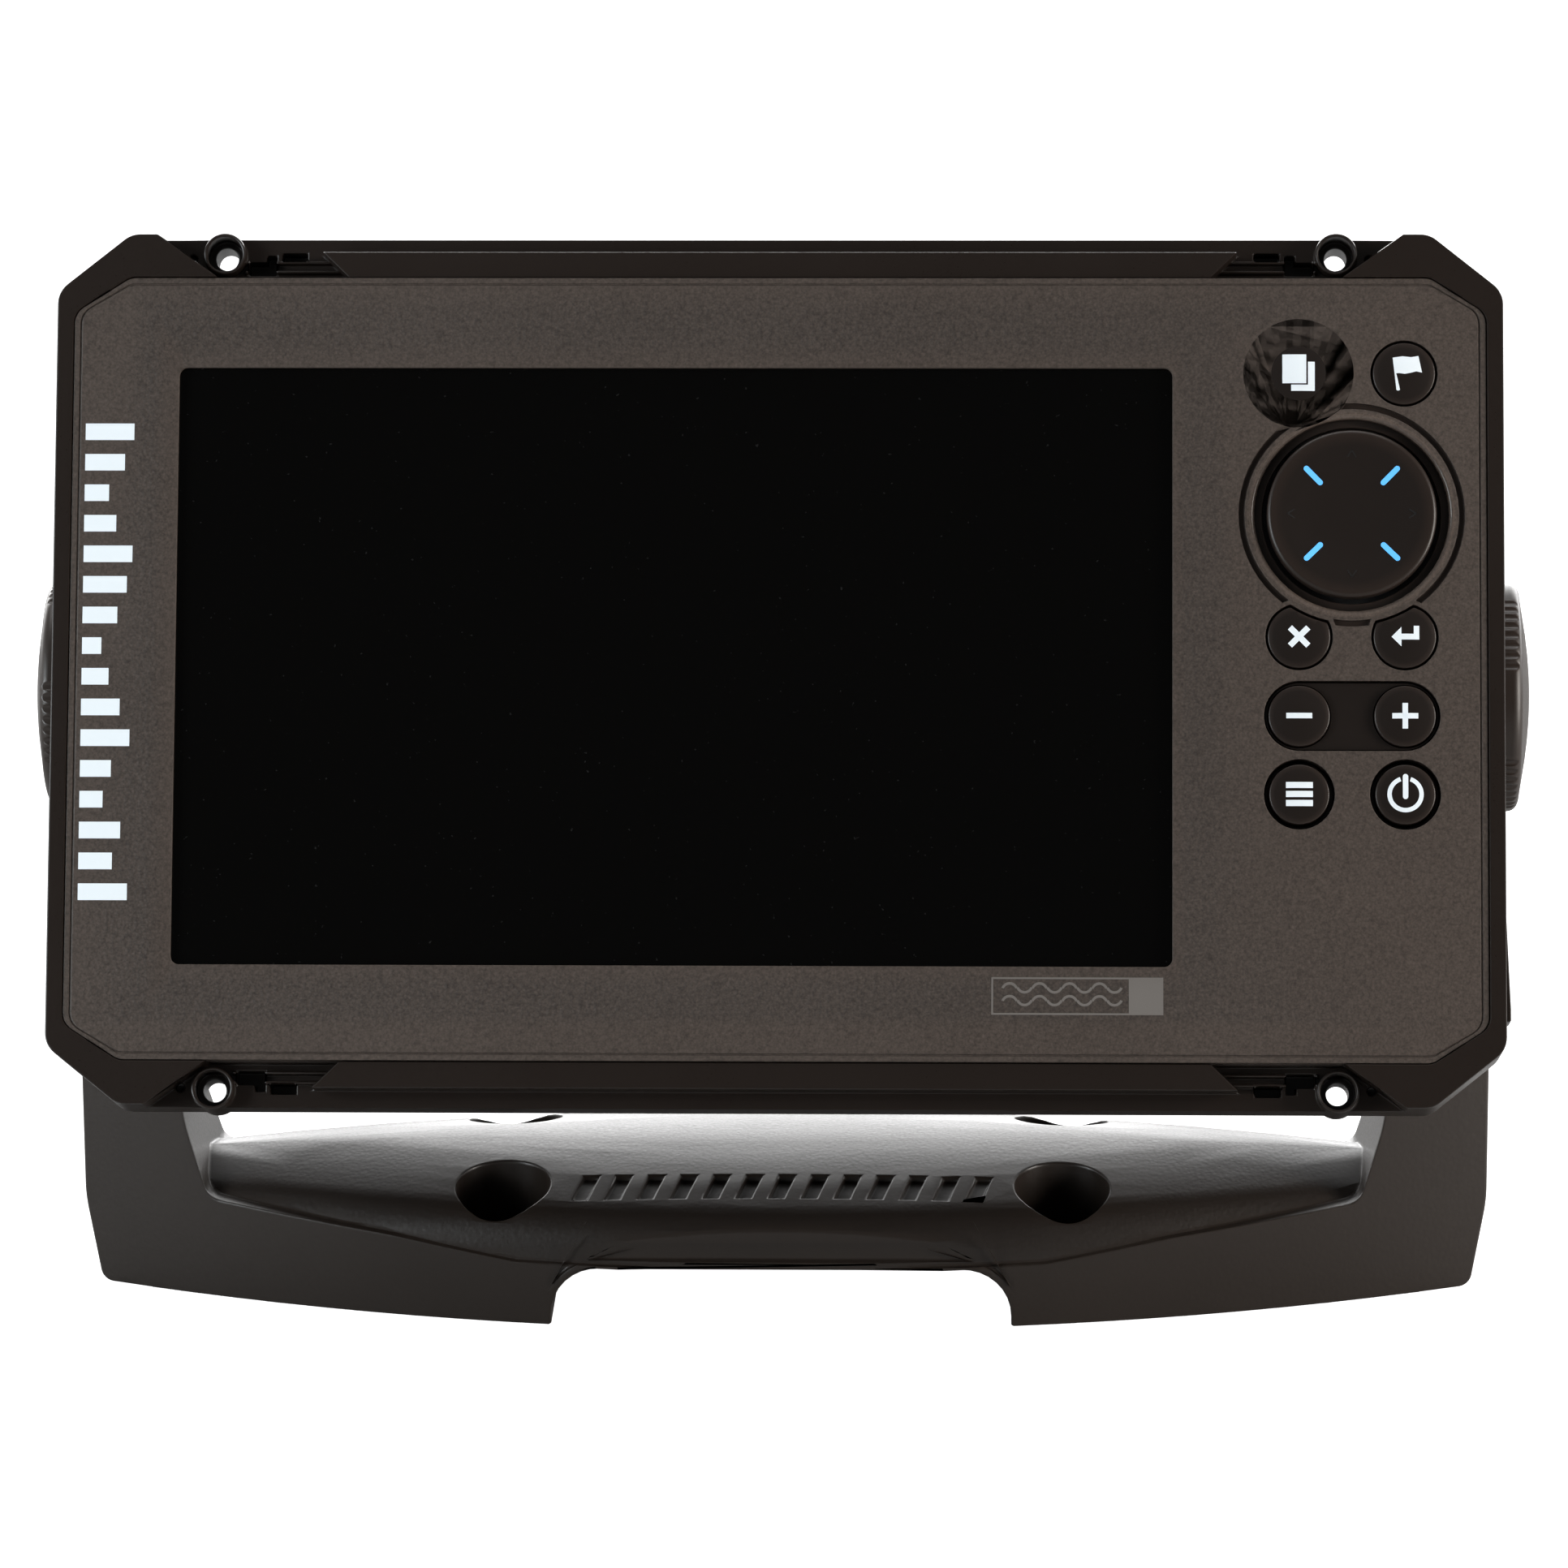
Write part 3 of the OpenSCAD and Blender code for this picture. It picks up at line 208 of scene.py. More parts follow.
def moulded(
        name, tone, grain_mm, depth_mm, rough,
        cloud=0.10, grain_tone_and_glints=0.12, edge=0.25, pebbled=True, specular=0.5):
    paint = Paint(name, Specular_IOR_Level=specular)
    place = paint.place()
    clouds = paint.noise(CLOUD_MM, 3, place)
    fine = paint.noise(grain_mm * 0.55, 2, place)
    pebbles = paint.cells(grain_mm, "SMOOTH_F1", place) if pebbled else paint.noise(grain_mm, 3, place)
    height = pebbles * 0.75 + fine * 0.25
    # The marked rounds are lightened here, partly as wear and partly as a painted highlight.
    rubbed = paint.rubbed()
    # These grain terms vary the tone at random and also paint glints on the pebbles as painted highlights.
    shade = 1 + (clouds - 0.5) * cloud * 2 + (fine - 0.5) * grain_tone_and_glints * 2
    shade = shade + (0.45 - pebbles) * grain_tone_and_glints + rubbed * edge
    level = paint.node("ShaderNodeCombineColor", None, {"Red": shade, "Green": shade, "Blue": shade})
    settings = {"data_type": "RGBA", "blend_type": "MULTIPLY"}
    colour = paint.node("ShaderNodeMix", settings, {0: 1.0, 6: tint(tone, 1), 7: level}, out=2)
    paint.feed(
        Base_Color=colour,
        Roughness=rough + (fine - 0.5) * 0.18 + (clouds - 0.5) * 0.08 - rubbed * 0.08,
        Normal=paint.bump(height, depth_mm, 0.9 - rubbed * 0.5),
    )
    return paint.material


BEZEL_TONE = (0.0560, 0.0440, 0.0375)
FRAME_TONE = (0.0125, 0.0086, 0.0068)
KEY_TONE = (0.0125, 0.0088, 0.0072)
BRACKET_TONE = (0.0185, 0.0138, 0.0112)
KNOB_TONE = tint(FRAME_TONE, 1.9)
# The front plate's strong grain speckle paints glints on its pebbles.
bezel_plastic = moulded(
    "bezel_plastic", BEZEL_TONE, 0.56, 0.12, 0.50, cloud=0.12, grain_tone_and_glints=0.75, specular=0.45)
frame_plastic = moulded(
    "frame_plastic", FRAME_TONE, 0.5, 0.012, 0.40, grain_tone_and_glints=0.06, pebbled=False, specular=0.42)
case_plastic = moulded("case_plastic", FRAME_TONE, 0.7, 0.05, 0.55, cloud=0.12, grain_tone_and_glints=0.10)
# The keys' rounds are lightened the most, as wear and as a painted highlight.
key_plastic = moulded(
    "key_plastic", KEY_TONE, 0.35, 0.006, 0.40,
    cloud=0.06, grain_tone_and_glints=0.05, edge=0.9, pebbled=False, specular=0.30)
knob_plastic = moulded("knob_plastic", KNOB_TONE, 0.45, 0.015, 0.40, grain_tone_and_glints=0.06, pebbled=False)
bracket_plastic = moulded(
    "bracket_plastic", BRACKET_TONE, 0.75, 0.045, 0.42, cloud=0.12, grain_tone_and_glints=0.12, specular=0.45)
rubber = moulded("rubber", (0.028, 0.028, 0.030), 0.9, 0.02, 0.72, pebbled=False)
seal_rubber = moulded("seal_rubber", (0.090, 0.110, 0.125), 0.8, 0.02, 0.66, pebbled=False)
connector_plastic = moulded("connector_plastic", (0.78, 0.76, 0.68), 0.6, 0.01, 0.45, pebbled=False)
print("plastics:", [m.name for m in bpy.data.materials if "plastic" in m.name])

# %% [markdown]
# ## Glass, prints and films
# The screen is off, so it shows as deep black glass. Real glass is never quite clean, so a broad noise lifts
# its roughness in faint smears. The symbols are printed ink: almost white, a little blue, and just uneven
# enough to sit on the key. Each ink also glows faintly, the blue the most, though nothing behind it is lit:
# a painted light that keeps the marks bright.

# %% Screen glass and printed ink
GLASS_TONE, DUST_TONE = (0.0016, 0.0015, 0.0014, 1), (0.02, 0.02, 0.02, 1)


def screen_black():
    paint = Paint("screen_black", Base_Color=GLASS_TONE, Specular_IOR_Level=0.28, IOR=1.5)
    smears = paint.noise(16, 4).between(0.45, 0.75)
    dust = paint.noise(0.6, 1).between(0.74, 0.80)
    paint.feed(
        Roughness=0.06 + smears * 0.05 + dust * 0.30,
        Base_Color=paint.mix(dust * 0.35, GLASS_TONE, DUST_TONE),
    )
    return paint.material


def ink(name, colour, painted_glow=0.0):
    # The emission is a painted glow: the ink gives no light of its own.
    paint = Paint(name, Emission_Strength=painted_glow, Emission_Color=tint(colour, 1))
    uneven = paint.noise(0.25, 3)
    worn = paint.noise(5, 2)
    paint.feed(
        Base_Color=paint.mix(uneven * 0.25 + worn * 0.15, tint(colour, 1), tint(colour, 0.86)),
        Roughness=0.5 + (uneven - 0.5) * 0.2,
        Normal=paint.bump(uneven, 0.004),
    )
    return paint.material


# The last number of each ink is its painted glow, which keeps the marks bright.
glass_black = screen_black()
white_ink = ink("white_ink", (0.80, 0.87, 0.92), 0.18)
blue_ink = ink("blue_ink", (0.085, 0.36, 0.74), 0.85)
grey_ink = ink("grey_ink", (0.150, 0.138, 0.128), 0.10)
faint_ink = ink("faint_ink", (0.006, 0.005, 0.005))
print("glass and inks ready")

# %% [markdown]
# ## Metals, boards and the rest of the inside
# Inside are stamped steel, turned brass, cast aluminium, a green circuit board with copper tracks under its
# lacquer, and the layers of the screen. They are seen only when the pieces are taken apart, but each gets its
# own finish: brushed lines are a noise stretched along one direction, and the tracks are a grid of cells.

# %% Metals
def metal(name, colour, rough, stretch=(1, 12, 1), grain_mm=0.35):
    paint = Paint(name, Metallic=1.0)
    mapping = paint.node("ShaderNodeMapping", None, {"Vector": paint.place(), "Scale": stretch})
    lines = paint.noise(grain_mm, 3, mapping)
    stains = paint.noise(9, 3)
    rubbed = paint.rubbed()
    paint.feed(
        Base_Color=paint.mix((stains - 0.35) * 0.8, tint(colour, 1), tint(colour, 0.72)),
        Roughness=rough + (lines - 0.5) * 0.22 + (stains - 0.5) * 0.10 - rubbed * 0.08,
        Normal=paint.bump(lines, 0.006),
    )
    return paint.material


steel = metal("steel", (0.55, 0.56, 0.57), 0.30)
brass = metal("brass", (0.62, 0.45, 0.18), 0.28, stretch=(14, 1, 1))
aluminium = metal("aluminium", (0.70, 0.71, 0.72), 0.38)
gold = metal("contact_gold", (0.75, 0.55, 0.22), 0.22)


# %% Board, films and small parts
def lacquered_board():
    paint = Paint("circuit_board", Coat_Weight=0.4, Coat_Roughness=0.15)
    place = paint.place()
    grid = paint.node("ShaderNodeTexBrick", {"offset": 0.5}, {
        "Vector": place, "Scale": 1 / (9 * MM), "Mortar Size": 0.035, "Mortar Smooth": 0.2,
    }, out="Fac")
    pads = 1 - paint.cells(4.2, "F1", place).between(0.10, 0.14)
    copper = paint.mix(grid, (0.020, 0.110, 0.055, 1), (0.035, 0.190, 0.085, 1))
    paint.feed(
        Base_Color=paint.mix(pads, copper, (0.62, 0.60, 0.52, 1)),
        Metallic=pads * 0.9,
        Roughness=0.38 - pads * 0.1 + (paint.noise(2, 2) - 0.5) * 0.1,
        Normal=paint.bump(grid * 0.6 + pads, 0.03),
    )
    return paint.material


def film(name, colour, rough, line_mm):
    """A thin sheet with fine parallel lines, such as a screen layer, a flat cable or a label."""
    paint = Paint(name)
    settings = {"wave_type": "BANDS", "bands_direction": "X"}
    inputs = {"Vector": paint.place(), "Scale": 1 / (line_mm * MM) / 20}
    lines = paint.node("ShaderNodeTexWave", settings, inputs, out=1)
    marks = paint.noise(6, 3)
    paint.feed(
        Base_Color=paint.mix(lines * 0.30 + marks * 0.12, tint(colour, 1), tint(colour, 0.62)),
        Roughness=rough + (marks - 0.5) * 0.15,
        Normal=paint.bump(lines, 0.01),
    )
    return paint.material


board_green = lacquered_board()
panel_dark = film("panel_dark", (0.020, 0.021, 0.025), 0.12, 0.2)
light_guide = film("light_guide", (0.85, 0.85, 0.83), 0.30, 0.6)
ribbon = film("ribbon", (0.55, 0.36, 0.13), 0.35, 0.8)
ceramic = moulded("ceramic", (0.66, 0.58, 0.42), 0.3, 0.01, 0.4, pebbled=False)
label = film("label", (0.60, 0.60, 0.58), 0.42, 1.6)
print("materials in all:", len(bpy.data.materials))

# %% Give every part its finish
SLOT_FINISH = {
    "bezel_plastic": bezel_plastic, "frame_plastic": frame_plastic, "key_plastic": key_plastic,
    "bracket_plastic": bracket_plastic, "screen_glass": glass_black, "rubber": rubber,
    "seal_rubber": seal_rubber, "steel": steel, "aluminium": aluminium, "brass": brass, "contact_gold": gold,
    "circuit_board": board_green, "panel_dark": panel_dark, "light_guide": light_guide, "ribbon": ribbon,
    "ceramic": ceramic, "connector_plastic": connector_plastic, "label": label,
}
slot_of = {part["node"]: part["material_slot"] for part in frame["record"]["subparts"]}
body_of = {node: body for body, nodes in frame["record"]["behaviour"]["bodies"].items() for node in nodes}
OWN_FINISH = {"rear_case": case_plastic, "knob_right": knob_plastic, "knob_left": knob_plastic}


def finish_of(node):
    return OWN_FINISH.get(node, SLOT_FINISH[slot_of[node]])


for node, part in frame["nodes"].items():
    part.data.materials.clear()
    part.data.materials.append(finish_of(node))
print("finishes given to", len(frame["nodes"]), "parts")

# %% [markdown]
# ## Softening the edges
# No moulded edge is sharp: the mould's cutter leaves a small round, and it is what catches the light. The
# imported parts have knife edges. One way is a Bevel modifier on each part, but its limits work on the packed
# mesh's loose triangles. So each visible part is copied into a bmesh, its doubles are merged and its flat
# faces made whole, and then only its sharp edges are bevelled. The new faces are marked, and the plastics
# lighten them in colour, partly as wear and partly as a painted highlight. Weighted normals keep the big flat
# faces flat.

# %% Copy a part and round its sharp edges
MERGE_MM = 0.002
FLAT_WITHIN = math.radians(0.6)
SHARP_OVER = math.radians(30)
SMOOTH_BELOW = math.radians(32)


def whole_copy(node):
    """A part's mesh in the face's frame and in millimetres, with its triangles joined."""
    bm = bmesh.new()
    bm.from_mesh(frame["nodes"][node].data)
    bmesh.ops.transform(bm, matrix=FROM_FACE, verts=bm.verts)
    bmesh.ops.remove_doubles(bm, verts=bm.verts, dist=MERGE_MM)
    bmesh.ops.dissolve_limit(bm, angle_limit=FLAT_WITHIN, verts=bm.verts, edges=bm.edges)
    return bm


def round_edges(bm, width, segments=2, wear_and_highlight=1.0, chosen=lambda middle: True):
    """Rounds the sharp edges whose middle is chosen, and marks the new faces with how much they are lightened, as
    wear and as painted highlight.
    """
    worn = bm.verts.layers.float.get("rubbed") or bm.verts.layers.float.new("rubbed")
    edges = [
        e for e in bm.edges
        if e.is_manifold and e.calc_face_angle() > SHARP_OVER
        and chosen((e.verts[0].co + e.verts[1].co) / 2)
    ]
    made = bmesh.ops.bevel(
        bm, geom=edges, offset=width, offset_type="OFFSET", affect="EDGES", segments=segments, profile=0.5,
        material=-1, clamp_overlap=False,
    )
    # The mark holds how much the plastics lighten each round: wear on most edges, a painted highlight on the
    # well's rim.
    for vertex in made["verts"]:
        vertex[worn] = wear_and_highlight
    return len(edges)


def to_piece(bm, name, body, material, replaced=()):
    """Turns a bmesh in the face's frame into a piece that rides on a body and stands for the given parts."""
    bmesh.ops.transform(bm, matrix=FACE, verts=bm.verts)
    for edge in bm.edges:
        edge.smooth = not edge.is_manifold or edge.calc_face_angle() < SMOOTH_BELOW
    for polygon in bm.faces:
        polygon.smooth = True
    mesh = bpy.data.meshes.new(name)
    bm.to_mesh(mesh)
    bm.free()
    mesh.materials.append(material)
    piece = bpy.data.objects.new(name, mesh)
    bpy.context.scene.collection.objects.link(piece)
    weighted = piece.modifiers.new("flat_faces", "WEIGHTED_NORMAL")
    weighted.keep_sharp = True
    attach(piece, body)
    if replaced:
        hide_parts(*replaced)
    return piece


def softened(node, width, **options):
    """The usual way: a part with all its sharp edges rounded."""
    bm = whole_copy(node)
    count = round_edges(bm, width, **options)
    piece = to_piece(bm, node + "_soft", body_of[node], finish_of(node), [node])
    print(f"{piece.name}: {count} edges rounded, {len(piece.data.polygons)} faces")


EDGE_MM = {
    "front_frame": 0.30, "rear_case": 0.45, "card_door": 0.30, "power_socket": 0.15, "sonar_socket": 0.15,
    "bracket": 0.45, "knob_right": 0.12, "knob_left": 0.12,
}
for node, width in EDGE_MM.items():
    softened(node, width)

# %% [markdown]
# ## The front plate
# The plate's outer edge and its key holes have small even rounds. The wall of the cursor pad's well is
# different: it is a wide slope that shows as a bright crescent on each side of the pad, and its round
# is lightened in colour much more than the others, as a painted highlight. It is the same bevel made
# wider, chosen by its distance from the pad's middle. Down in the well, the key holes and the ring groove
# the plate is in deep shade, so those faces take the keys' darker plastic as painted shade.

# %% Front plate
window_low, window_high = face_box("screen_glass")
pad_low, pad_high = face_box("cursor_pad")
pad_middle = (pad_low + pad_high) / 2
WELL_RIM = 15.0
RING_MIDDLE, RING_HALF, RING_DEPTH = 17.0, 0.6, 0.1
KEYS_BEYOND_WINDOW = 6
SHADE_DEPTH = 0.42
# The well's rim is lightened four times as much as the other rounds, as a painted highlight.
RIM_MM, RIM_HIGHLIGHT, PLATE_EDGE_MM = 0.75, 4.0, 0.16


def from_pad(point):
    """How far a point on the face is from the middle of the cursor pad."""
    return math.hypot(point.x - pad_middle.x, point.y - pad_middle.y)


def on_well_rim(middle):
    return abs(from_pad(middle) - WELL_RIM) < 0.2 and middle.z > -0.05


def off_well_rim(middle):
    return abs(from_pad(middle) - WELL_RIM) > 1.0


def in_shade(face):
    """True down the walls of the well and the key holes, and in the ring groove, which see little light."""
    middle = face.calc_center_median()
    in_ring = all(abs(from_pad(v.co) - RING_MIDDLE) < RING_HALF for v in face.verts)
    among_keys = middle.x > window_high.x + KEYS_BEYOND_WINDOW
    return in_ring and middle.z < -RING_DEPTH or among_keys and middle.z < -SHADE_DEPTH


bm = whole_copy("front_bezel")
rim = round_edges(bm, RIM_MM, segments=4, wear_and_highlight=RIM_HIGHLIGHT, chosen=on_well_rim)
rest = round_edges(bm, PLATE_EDGE_MM, chosen=off_well_rim)
bm.faces.ensure_lookup_table()
# Faces in deep shade take the keys' darker plastic as a second material: painted shade.
painted_shade_faces = [face for face in bm.faces if in_shade(face)]
for face in painted_shade_faces:
    face.material_index = 1
plate = to_piece(bm, "front_plate", "head", bezel_plastic, ["front_bezel"])
plate.data.materials.append(key_plastic)
# These are the faces darkened as painted shade.
print("faces of the well and the key holes in the dark finish:", len(painted_shade_faces))
print("front plate:", rim, "rim edges,", rest, "other edges")

# %% [markdown]
# ## Keys and cursor pad
# Each key is a low dome with a crisp but rounded shoulder, so a bevel on its sharp edges is enough. The
# cursor pad is flatter and larger, with a softer shoulder.

# %% Keys
KEYS = (
    "pages_key", "waypoint_key", "exit_key", "enter_key", "minus_key", "plus_key", "menu_key", "power_key",
)
for node in KEYS:
    softened(node, 0.22, segments=3)
softened("cursor_pad", 0.25, segments=3)

# %% [markdown]
# ## Printed symbols
# A symbol is ink on a domed key, so it has to follow the dome. Each one starts as a few flat shapes. They
# are cut across on a fine grid, dropped on the part below with a ray from each corner, and given a thickness
# of a few hundredths of a millimetre. A bar is a scaled square, a ring is a short edge spun about a point,
# and an outline is a face on a handful of corners.

# %% Flat shapes for printing
INK = 0.03
INK_LIFT = INK * 0.3
DROP = 1


def outline(bm, points):
    return bm.faces.new([bm.verts.new((x, y, 0)) for x, y in points])


def bar(bm, x, y, width, height, turn=0.0):
    """A rectangle about (x, y), turned by an angle in degrees."""
    matrix = Matrix.Translation((x, y, 0)) @ Matrix.Rotation(math.radians(turn), 4, "Z") @ Matrix.Diagonal(
        (width / 2, height / 2, 1, 1))
    bmesh.ops.create_grid(bm, x_segments=1, y_segments=1, size=1, matrix=matrix)


def pill(bm, start, end, width, steps=8):
    """A stroke with round ends between two points."""
    start, end = Vector(start), Vector(end)
    turn = math.atan2(end.y - start.y, end.x - start.x)
    points = []
    for middle, first in ((end, turn - math.pi / 2), (start, turn + math.pi / 2)):
        for step in range(steps + 1):
            angle = first + math.pi * step / steps
            points.append((middle.x + width / 2 * math.cos(angle), middle.y + width / 2 * math.sin(angle)))
    outline(bm, points)


def ring_part(bm, middle, inner, outer, first, last, steps=40):
    """Part of a flat ring between two angles, swept with the spin operator."""
    inside = bm.verts.new((middle[0] + inner * math.cos(first), middle[1] + inner * math.sin(first), 0))
    outside = bm.verts.new((middle[0] + outer * math.cos(first), middle[1] + outer * math.sin(first), 0))
    edge = bm.edges.new((inside, outside))
    bmesh.ops.spin(
        bm, geom=[edge, inside, outside], cent=(*middle, 0), axis=(0, 0, 1), angle=last - first, steps=steps,
        use_duplicate=False,
    )


def print_on(node, name, draw, material, middle=None, pitch=0.5):
    """Draws flat shapes, cuts them fine, drops them on a part's top and gives them an ink's thickness."""
    low, high = face_box(node)
    middle = middle or ((low.x + high.x) / 2, (low.y + high.y) / 2)
    surface = whole_copy(node)
    skin = BVHTree.FromBMesh(surface)
    bm = bmesh.new()
    draw(bm)
    reach = max(max(abs(v.co.x), abs(v.co.y)) for v in bm.verts)
    cuts = int(reach / pitch)
    for axis in ((1, 0, 0), (0, 1, 0)):
        for cut in range(-cuts, cuts + 1):
            geometry = bm.verts[:] + bm.edges[:] + bm.faces[:]
            bmesh.ops.bisect_plane(bm, geom=geometry, plane_co=Vector(axis) * cut * pitch, plane_no=axis)
    for polygon in bm.faces:
        if polygon.normal.z < 0:
            polygon.normal_flip()
    for vertex in bm.verts:
        start = Vector((middle[0] + vertex.co.x, middle[1] + vertex.co.y, high.z + DROP))
        landed = skin.ray_cast(start, Vector((0, 0, -1)))[0]
        vertex.co = landed or Vector((start.x, start.y, high.z))
    surface.free()
    bmesh.ops.solidify(bm, geom=bm.faces[:], thickness=-INK)
    bmesh.ops.recalc_face_normals(bm, faces=bm.faces)
    bmesh.ops.translate(bm, vec=(0, 0, INK_LIFT), verts=bm.verts)
    return to_piece(bm, name, body_of[node], material)


print("printing helpers ready")

# %% The eight key symbols
def pages(bm):
    bar(bm, -0.66, 0.68, 3.7, 4.55)
    outline(bm, [(1.45, 1.80), (2.50, 1.80), (2.50, -2.78), (-1.15, -2.78), (-1.15, -1.82), (1.45, -1.82)])


def flag(bm):
    cloth = [(-1.75, 2.45), (-0.2, 2.66), (1.1, 2.52), (2.24, 2.73), (2.78, 0.1), (1.9, 0.28),
             (0.9, 0.02), (0.1, -0.12), (-0.75, 0.0), (-1.2, -0.03)]
    pole = [(-1.75, 2.45), (-1.2, -0.03), (-0.62, -2.62), (-0.92, -2.74), (-1.18, -2.62)]
    outline(bm, cloth)
    outline(bm, pole)


def cross(bm):
    bar(bm, 0, 0, 4.0, 0.92, 45)
    bar(bm, 0, 0, 4.0, 0.92, -45)


def return_arrow(bm):
    outline(bm, [(-2.07, 0), (-0.55, 1.52), (-0.55, 0.45), (1.35, 0.45), (1.35, 1.7),
                 (2.2, 1.7), (2.2, -0.45), (-0.55, -0.45), (-0.55, -1.52)])


def minus(bm):
    bar(bm, 0, 0, 4.0, 0.85)


def plus(bm):
    minus(bm)
    bar(bm, 0, 0, 0.85, 4.0)


def menu_bars(bm):
    for y in (-1.40, 0, 1.40):
        bar(bm, 0, y, 4.15, 0.95)


def power(bm):
    ring_part(bm, (0, 0), 2.12, 2.80, math.radians(108), math.radians(432))
    pill(bm, (0, -0.35), (0, 2.75), 0.84)


SYMBOLS = dict(zip(KEYS, (pages, flag, cross, return_arrow, minus, plus, menu_bars, power)))
EXIT_ROW = 4.9    # these two keys are cut by the pad's ring, so their box isn't centred on them
CUT_KEYS = ("exit_key", "enter_key")
for node, draw in SYMBOLS.items():
    low, high = face_box(node)
    middle = ((low.x + high.x) / 2, EXIT_ROW if node in CUT_KEYS else (low.y + high.y) / 2)
    print_on(node, node + "_symbol", draw, white_ink, middle)
print("symbols printed:", len(SYMBOLS))

# %% [markdown]
# ## Marks on the cursor pad and the plate
# The pad carries four short blue strokes on its diagonals and four faint chevrons that point outward. Where
# a maker would put a name down the left of the plate, this one has a generic column of soundings: a row of
# plain bars of different lengths, like the returns of a depth sounder. The lower right corner gets a small
# generic mark: a frame with a filled end and two wavy lines.

# %% Pad marks
STROKE_IN, STROKE_OUT = 6.9, 9.9


def strokes(bm):
    for quarter in range(4):
        turn = math.radians(45 + 90 * quarter)
        way = Vector((math.cos(turn), math.sin(turn)))
        pill(bm, way * STROKE_IN, way * STROKE_OUT, 0.86)


def chevrons(bm):
    for quarter in range(4):
        turn = Matrix.Rotation(math.radians(90 * quarter), 2)
        tip, left, right = (turn @ Vector(p) for p in ((0, 9.9), (-0.65, 8.9), (0.65, 8.9)))
        pill(bm, left, tip, 0.22, 4)
        pill(bm, right, tip, 0.22, 4)


pad_centre = (pad_middle.x, pad_middle.y)
print_on("cursor_pad", "pad_strokes", strokes, blue_ink, pad_centre)
print_on("cursor_pad", "pad_chevrons", chevrons, faint_ink, pad_centre)
print("pad marks printed")

# %% Plate marks
window_middle = (window_low + window_high) / 2
SOUNDINGS = (7.6, 5.2, 6.4, 3.6, 4.8, 7.6, 6.0, 4.2, 3.0, 5.4, 6.8, 7.6, 5.0, 3.8, 6.2, 7.6)
SOUNDINGS_AT = (window_middle.x - 87.8, window_middle.y)
SOUNDINGS_LEFT, LOWEST_SOUNDING, SOUNDING_STEP, SOUNDING_H = -3.8, -35.6, 4.8, 2.6
CORNER_AT = (window_middle.x + 62.6, window_middle.y - 51.3)
CORNER_W, CORNER_H, CORNER_LINE, FILLED_FROM = 26.4, 5.6, 0.28, 7.9
HUMPS, FIRST_HUMP, HUMP_STEP, HUMP_IN, HUMP_OUT = 8, -10.4, 2.3, 0.95, 1.35


def soundings(bm):
    for place, length in enumerate(SOUNDINGS):
        height = LOWEST_SOUNDING + place * SOUNDING_STEP
        bar(bm, SOUNDINGS_LEFT + length / 2, height, length, SOUNDING_H)


def waves_in_frame(bm):
    """A frame with a filled right end and two wavy lines of alternate humps and hollows."""
    top, side = (CORNER_H - CORNER_LINE) / 2, CORNER_W / 2
    for y in (-CORNER_H / 2, CORNER_H / 2):
        bar(bm, 0, y, CORNER_W, CORNER_LINE)
    bar(bm, -side + CORNER_LINE / 2, 0, CORNER_LINE, 2 * top)
    outline(bm, [(FILLED_FROM, -top), (side, -top), (side, top), (FILLED_FROM, top)])
    for y in (-1.0, 1.0):
        for hump in range(HUMPS):
            x = FIRST_HUMP + hump * HUMP_STEP
            rise, first, last = (-0.15, 20, 160) if hump % 2 == 0 else (0.75, 200, 340)
            ring_part(bm, (x, y + rise), HUMP_IN, HUMP_OUT, math.radians(first), math.radians(last), 8)


print_on("front_bezel", "sounding_marks", soundings, white_ink, SOUNDINGS_AT, pitch=4)
print_on("front_bezel", "corner_mark", waves_in_frame, grey_ink, CORNER_AT, pitch=1.5)
print("plate marks printed")

# %% [markdown]
# ## Floor, light and camera
# The display stands on a plain floor that looks white but sends little light up, so that the bracket's
# front stays dark. A bright band low behind gives the sheen on the bracket's dome. The front of the sky is
# nearly dark, because that is what the screen mirrors. Two panels light the face from the sides, the left
# one a little cool and the right one warm, and a broad one hangs overhead.

# %% Floor
FLOOR_GREY, FLOOR_DARKER, FLOOR_GLOW = (0.42, 0.42, 0.42, 1), (0.40, 0.40, 0.40, 1), 1.1
FLOOR_HALF_SIDE = 6.0


def white_floor():
    paint = Paint("floor_white", Roughness=0.9)
    seen = paint.node("ShaderNodeLightPath", out="Is Camera Ray")
    paint.feed(
        Base_Color=paint.mix(paint.noise(400, 2) * 0.3, FLOOR_GREY, FLOOR_DARKER),
        Emission_Color=(1, 1, 1, 1),
        Emission_Strength=seen * FLOOR_GLOW,
    )
    return paint.material


bm = bmesh.new()
bmesh.ops.create_grid(bm, x_segments=8, y_segments=8, size=FLOOR_HALF_SIDE)
floor_mesh = bpy.data.meshes.new("floor")
bm.to_mesh(floor_mesh)
bm.free()
floor = bpy.data.objects.new("floor", floor_mesh)
floor.data.materials.append(white_floor())
bpy.context.scene.collection.objects.link(floor)


# %% Sky and lamps
DIM, BAND, SIDES, TOP = 0.05, 4.8, 1.5, 0.20


